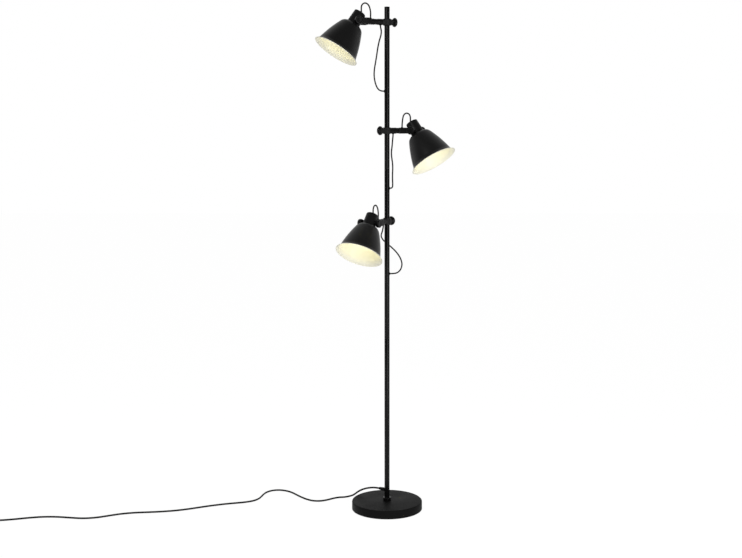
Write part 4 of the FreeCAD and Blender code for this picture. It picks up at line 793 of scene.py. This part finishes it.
# How far each lead comes straight out of the pole, its climb as places on the
# lamp, and its loop as places on the arm, along it and up.
LEADS = {
    "top": (19.0, [
        (-29.0, -0.4, 1300), (-35.4, -1.2, 1316), (-38.8, -2.4, 1335), (-38.2, -3.4, 1355),
        (-34.6, -4.2, 1375), (-30.8, -5.0, 1397), (-27.8, -5.8, 1419), (-23.2, -6.6, 1440),
        (-17.9, -7.2, 1456), (-16.7, -7.4, 1469)], [
        (52.7, 17.0), (52.4, 25.5), (53.6, 33.6), (55.6, 40.8), (58.7, 47.2), (64.2, 52.3),
        (71.7, 53.3), (78.3, 49.8), (81.8, 43.2), (82.2, 35.5)]),
    "middle": (13.2, [
        (16.9, -0.3, 1005.3), (17.2, -1.6, 1013.5), (16.6, -3.2, 1026), (16.4, -5.4, 1043),
        (17.4, -7.6, 1061), (16.6, -9.2, 1078), (13.9, -10.2, 1095), (12.9, -11.0, 1111),
        (15.4, -11.4, 1129), (16.4, -11.6, 1143)], [
        (53.1, 16.5), (53.7, 25.0), (54.8, 33.0), (56.2, 39.8), (58.4, 45.8), (63.9, 50.8),
        (71.4, 51.8), (78.0, 48.3), (81.5, 41.7), (82.0, 34.6)]),
    "bottom": (19.0, [
        (31.0, 0.4, 743), (41.4, 1.4, 752), (46.4, 3.0, 767), (43.7, 5.4, 782),
        (36.4, 8.6, 796), (26.8, 12.4, 808), (15.4, 15.6, 819), (3.4, 16.8, 829),
        (-7.6, 14.2, 838), (-14.6, 8.0, 847), (-18.0, -0.8, 855), (-17.4, -9.4, 863),
        (-13.7, -15.4, 873)], [
        (52.3, 16.8), (51.6, 25.4), (52.8, 33.4), (54.9, 40.2), (58.3, 46.3), (63.8, 51.3),
        (71.1, 52.3), (77.7, 48.9), (81.1, 42.3), (81.9, 34.6)])}


def cord_curve(name, kind, route, diameter, finish, ring=6):
    """A round curve along a route, in metres."""
    curve = bpy.data.curves.new(name, "CURVE")
    curve.dimensions, curve.resolution_u, curve.use_fill_caps = "3D", 12, True
    curve.bevel_depth, curve.bevel_resolution = diameter / 2, ring
    line = curve.splines.new(kind)
    line.points.add(len(route) - 1)
    for point, place in zip(line.points, route):
        point.co = (*place, 1)
    line.order_u, line.use_endpoint_u = 3, True
    curve.materials.append(finish)
    return placed(name, curve)


def mesh_of(curve):
    """The mesh that a curve makes, in the curve's stead."""
    mesh = bpy.data.meshes.new_from_object(curve)
    bpy.data.objects.remove(curve)
    return mesh


def nearest(line, spot):
    """The number of a line's point that is nearest to a spot."""
    return min(range(len(line)), key=lambda number: (line[number] - spot).length)


for side, (start, drop, loop) in LEADS.items():
    arm, (hole, heading) = ARM[side], HOLES[side]
    out = Vector((cos(radians(heading)), sin(radians(heading)), 0))
    inlet, outlet = arm @ Vector((LEAD_IN * MM, 0, 0)), arm @ Vector((LEAD_OUT * MM, 0, 0))
    cup_hole = CONE[side] @ Vector((LEAD_ASIDE * MM, 0, CUP_END * MM))
    up = Vector((0, 0, MM))
    route = [out * (POLE_RADIUS * MM) + up * hole, out * (start * MM) + up * hole]
    route += [Vector(point) * MM for point in drop] + [inlet - up * 13, inlet, outlet]
    route += [arm @ (Vector((across, 0, high)) * MM) for across, high in loop]
    route += [cup_hole + up * 6.5, cup_hole - up * 4.6]
    whole = mesh_of(cord_curve(side + "_lead_line", "NURBS", route, 0, sheath_black))
    line = [point.co.copy() for point in whole.vertices]
    bpy.data.meshes.remove(whole)
    # The lead is drawn in three parts: the lower part where the arm slides, the next where
    # it swivels, and the loop where the shade tilts. Their ends are inside the bushings.
    seam_height = hole + 0.6 * (HEADS[side][0] - hole)
    entry, exit_ = nearest(line, inlet - up * 5.5), nearest(line, outlet + up * 8.0)
    seam = min(range(entry), key=lambda number: abs(line[number].z - seam_height * MM))
    for name, first, last, bodies in (
            ("_lead_lower", 0, seam, ("stand", side + "_carriage")),
            ("_lead_upper", seam, entry, (side + "_carriage", side + "_arm")),
            ("_lead_loop", exit_, len(line) - 1, (side + "_arm", side + "_head"))):
        path = line[first:last + 1]
        mesh = mesh_of(cord_curve(side + name, "POLY", path, 0.0043, sheath_black, 5))
        mesh.polygons.foreach_set("use_smooth", [True] * len(mesh.polygons))
        piece = placed(side + name, mesh)
        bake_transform(piece)
        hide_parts(side + "_lead")

# ---- mains cord
# A round two-core cord, 5.6 mm thick. It comes out straight from the bushing,
# sags over the base's edge to the floor and runs off in slack curves.

mains_black = moulding("mains_black", 0.007, 0.42, grain=2400.0, handling=0.35, depth=0.00002)
ON_FLOOR = 2.85
route = [(cos(CORD_OUT) * away, sin(CORD_OUT) * away, up) for away, up in (
    (6.3, 60), (31, 60), (55, 57.8), (78, 51.5), (99, 43.0), (117, 31.5), (132, 19.0))]
route += [(-121.5, 93.0, 9.6), (-137.0, 103.5, 3.55)]
route += [(x, y, ON_FLOOR) for x, y in (
    (-156, 104), (-174.5, 92), (-192, 76), (-212.5, 65), (-235, 66.5), (-255.5, 81),
    (-274, 102.5), (-291.5, 127), (-308, 152.5), (-328, 172), (-351.5, 182.5), (-375, 178.5),
    (-392, 162), (-401, 138), (-405.5, 112.5), (-411.5, 88), (-425.5, 67.5), (-448.5, 54),
    (-477, 45.5), (-510, 36), (-543.5, 23), (-578.5, 6.5), (-615, -13), (-654, -29.5),
    (-695.5, -40), (-738.5, -46), (-781.5, -50.5), (-821, -62), (-856, -81), (-890, -99),
    (-927, -105.5), (-966, -98.5), (-1008, -90), (-1052, -89.5), (-1094, -99.5),
    (-1134, -113.5), (-1173, -123))]
route += [(-1207, -126, 3.75), (-1226, -126, 6.5), (-1243, -126, 6.5), (-1248, -126, 6.5)]
mains = cord_curve("mains_lead", "NURBS", [Vector(point) * MM for point in route], 0.0056,
                   mains_black)
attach(mains, "stand")
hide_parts("mains_cord")

# ---- foot switch
# An inline foot switch: a lower tray and an upper cover, moulded in black, with
# a round push button and a ribbed sleeve on the cord at both ends.


def ring_of(half_x, half_y, corner, up, around=24):
    """A rounded rectangle at a height."""
    turns = [pi / 2 * step / (around - 1) for step in range(around)]
    return [(cx * (half_x - corner) + corner * cos(pi / 2 * quarter + turn),
             cy * (half_y - corner) + corner * sin(pi / 2 * quarter + turn), up)
            for quarter, (cx, cy) in enumerate(((1, 1), (-1, 1), (-1, -1), (1, -1)))
            for turn in turns]


def moulded_block(name, levels, place, finish):
    """A block lofted through rounded rectangles and closed at both ends."""
    rings = [ring_of(*level) for level in levels]
    count, last = len(rings[0]), len(rings) - 1
    faces = grid_faces(len(rings), count, round_across=True)
    faces += [tuple(range(count - 1, -1, -1)),
              tuple(last * count + number for number in range(count))]
    piece = sheet_piece(name, [point for ring in rings for point in ring], faces, finish)
    welded(piece, 0.002)
    return frozen(piece, place)


def edge_levels(half_x, half_y, corner, up, size, rising, steps=6):
    """Levels round a block's lower edge (rising) or upper edge."""
    levels = []
    for step in range(steps + 1):
        turn = pi / 2 * step / steps
        inset = size * (1 - (sin(turn) if rising else cos(turn)))
        high = size * (1 - cos(turn)) if rising else size * sin(turn) - size
        levels.append((half_x - inset, half_y - inset, max(corner - inset, 0.2), up + high))
    return levels


switch_black = moulding("switch_black", 0.006, 0.38, grain=1300.0, handling=0.4)
AT_SWITCH = at(-1287, -126, 0)
tray = moulded_block("switch_tray", [
    *edge_levels(36, 16, 8, 0, 0.8, True), *edge_levels(36, 16, 8, 11, 0.35, False),
    (11, 11, 11, 11), (11, 11, 11, 4)], AT_SWITCH, switch_black)
cover = moulded_block("switch_lid", [
    (9.3, 9.3, 9.3, 11.05), *edge_levels(36, 16, 8, 11.05, 0.35, True),
    *edge_levels(36, 16, 8, 18, 2.6, False), (13.5, 12.2, 11.2, 18), (12.6, 11.4, 10.6, 17.5),
    (10.3, 10.3, 10.3, 17.5), (9.5, 9.5, 9.5, 17.3), (9.3, 9.3, 9.3, 16.8)],
    AT_SWITCH, switch_black)
for piece, node in ((tray, "switch_base"), (cover, "switch_cover")):
    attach(piece, "stand")
    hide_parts(node)
button = turned("switch_push_button", rounded([
    (0, 8.9), (10.6, 8.9), (10.6, 10.9), (9.0, 10.9), (9.0, 20.6, 1.2), (5.0, 20.5, 3.0),
    (0, 20.1)], 8), AT_SWITCH,
    moulding("button_grey", 0.016, 0.34, grain=1500.0, handling=0.5), 72)
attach(button, "foot_button")
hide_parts("switch_button")
for name, turn in (("right", 90), ("left", -90)):
    place = AT_SWITCH @ at(0, 0, 6.5) @ about("Y", turn)
    sleeve = turned("switch_sleeve_" + name, rounded([
        (2.85, 40), (2.85, 34), (5.2, 34), (5.2, 37, 0.5), (4.6, 38.5, 0.5), (3.7, 58, 0.5),
        (2.85, 58), (2.85, 40)]), place, rubber_black, 48)
    ribs = ribbed("switch_sleeve_ribs_" + name, place, rubber_black, count=6, start=41.0,
                  pitch=2.8, first=4.5, last=3.9, height=0.6)
    for piece in (sleeve, ribs):
        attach(piece, "stand")

# ---- coil of spare cord
# What is left of the cord is wound flat in two layers, four and a quarter turns
# in all, and leads on to the plug.

COIL_X, COIL_Y, TURNS = -1377, -163, 4.25


def coil_point(turns):
    """The cord's middle after some turns: inwards below, then outwards on top."""
    away = 24.6 + 6.2 * abs(turns - 2)
    climb = min(max((turns - 1.75) / 0.5, 0.0), 1.0)
    angle = pi / 2 + 2 * pi * turns
    return Vector((COIL_X + away * cos(angle), COIL_Y + away * sin(angle),
                   3.9 + 6.15 * (3 - 2 * climb) * climb * climb))


tail = coil_point(TURNS)
spare = [Vector((-1326, -126, 6.5)), Vector((-1331, -126, 6.5)), Vector((-1340, -126, 6.5)),
         Vector((-1358, -126, 4.6))]
spare += [coil_point(TURNS * number / 68) for number in range(69)]
spare += [Vector((tail.x, tail.y - past, up))
          for past, up in ((14, 9.2), (30, 7.4), (42, 7.0), (50, 7.0))]
coil = cord_curve("spare_coil", "NURBS", [point * MM for point in spare], 0.0056, mains_black)
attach(coil, "stand")
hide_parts("mains_coil")

# ---- coil tie
# A woven strap, 8 mm wide and 0.8 mm thick, is wrapped round the turns of the
# coil and closed on itself.

woven, tree, body = new_finish("woven_strap")
warp, weft = (wired(tree, "ShaderNodeTexWave", {"bands_direction": axis}, Vector=own_place(tree),
                    Scale=420.0).outputs["Fac"] for axis in "XZ")
weave = sum_of(tree, "MULTIPLY", warp, weft)
feed(body, Roughness=0.8, Base_Color=two_tones(tree, weave, 0.006, 0.03),
     Normal=bumped(tree, weave, 0.6, 0.0002))

band = rounded([(-193.8, 0.85), (-200.2, 0.85, 2.6), (-200.2, 13.1, 2.6), (-187.4, 13.1, 2.6),
                (-187.4, 0.85, 2.6), (-193.8, 0.85)], 8)[:-1]
across = (4, 2, 0, -2, -4)
tie = sheet_piece("coil_strap", [(COIL_X + aside, point.x, point.y)
                                 for point in band for aside in across],
                  grid_faces(len(band), len(across), round_rows=True), woven)
walled(tie, thickness=0.8, side=1.0, edge=0.2, segments=2, even=False)
frozen(tie)
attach(tie, "stand")
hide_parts("coil_tie")

# ---- plug
# A two-pin plug, moulded onto the cord's end with a ribbed neck, lies flat beside
# the coil. Its pins are nickel plated.

AT_PLUG = at(tail.x, tail.y - 46, 7) @ about("X", 90)
plug = moulded_block("plug_moulding", [
    (3.6, 3.6, 3.6, 3), (4.3, 4.3, 4.3, 5), (5.5, 5.0, 4.6, 9), (8.5, 5.9, 4.6, 13),
    (13.0, 6.5, 4.4, 18), (16.4, 6.9, 4.2, 24), (17.4, 7.0, 4.0, 30),
    *edge_levels(17.5, 7, 4, 46, 1.2, False), (14.5, 5.0, 3.0, 46), (14.2, 4.7, 2.8, 45.4)],
    AT_PLUG, switch_black)
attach(plug, "stand")
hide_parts("plug_body")
plug_ribs = ribbed("plug_sleeve_ribs", AT_PLUG, switch_black, count=4, start=1.0, pitch=2.3,
                   first=3.7, last=4.6, height=0.7)
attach(plug_ribs, "stand")
pins = one_piece("plug_two_pins", [
    turned("pin", rounded([(0, 45.2), (2.0, 45.2), (2.0, 65, 1.2), (0, 65)]),
           AT_PLUG @ at(across, 0, 0), nickel, 40) for across in (-9.3, 9.3)])
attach(pins, "stand")
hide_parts("plug_pins")

# ---- studio
# A white floor that keeps a little of the lamp's shadow, a white surround, a
# broad soft light from above and a tall one at the right for the pole's stripe.

paper, tree, matt = new_finish("floor_white")
paper.cycles.emission_sampling = "NONE"
feed(matt, Base_Color=paint(0.86), Roughness=0.9, Specular_IOR_Level=0.0)
path = wired(tree, "ShaderNodeLightPath").outputs
bright = sum_of(tree, "MAXIMUM", path["Is Camera Ray"], path["Is Glossy Ray"])
bright = sum_of(tree, "MAXIMUM", bright, path["Is Transmission Ray"])
both = wired(tree, "ShaderNodeMixShader", n0=sum_of(tree, "MULTIPLY", bright, 0.9),
             n1=matt, n2=wired(tree, "ShaderNodeEmission", Strength=1.06))
feed(tree.nodes["Material Output"], Surface=both)
floor = sheet_piece("floor", [(-9000, -7000, -0.6), (9000, -7000, -0.6), (9000, 14000, -0.6),
                              (-9000, 14000, -0.6)], [(0, 1, 2, 3)], paper)
floor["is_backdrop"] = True

world = bpy.data.worlds.new("studio")
scene.world = world
world.use_nodes = True
tree = world.node_tree
path = wired(tree, "ShaderNodeLightPath").outputs
aim = wired(tree, "ShaderNodeTexCoord").outputs["Generated"]
shine = wired(tree, "ShaderNodeMix", {"data_type": "FLOAT"}, n0=path["Is Glossy Ray"], n2=0.45,
              n3=spread(tree, wired(tree, "ShaderNodeSeparateXYZ", n0=aim).outputs["Y"],
                        0.06, 1.0, -0.2, 0.3))
clear = sum_of(tree, "MAXIMUM", path["Is Camera Ray"], path["Is Transmission Ray"])
feed(tree.nodes["Background"], Color=(1, 1, 1, 1),
     Strength=sum_of(tree, "MAXIMUM", clear, shine))

LAMP_MIDDLE = Vector((0, 0, 0.9))
for name, place, size, power in (
        ("key_light", (-1.7, -2.6, 2.7), (1.3, 1.3), 36.0),
        ("side_light", (0.85, -1.7, 0.9), (0.5, 2.2), 22.0)):
    lamp = bpy.data.lights.new(name, "AREA")
    lamp.shape, lamp.size, lamp.size_y, lamp.energy = "RECTANGLE", *size, power
    holder = placed(name, lamp)
    holder.location = place
    holder.rotation_euler = (Vector(place) - LAMP_MIDDLE).to_track_quat("Z", "Y").to_euler()

view = bpy.data.cameras.new("view")
view.lens, view.sensor_width, view.shift_x = 56.57, 36.0, -0.0216
view.clip_start, view.clip_end = 0.05, 60.0
camera = placed("view", view)
camera.location = (0, -3.54, 1.16)
camera.rotation_euler = (radians(90 - 7.015), 0, 0)
scene.camera = camera
scene.view_settings.view_transform = "Standard"

low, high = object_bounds()
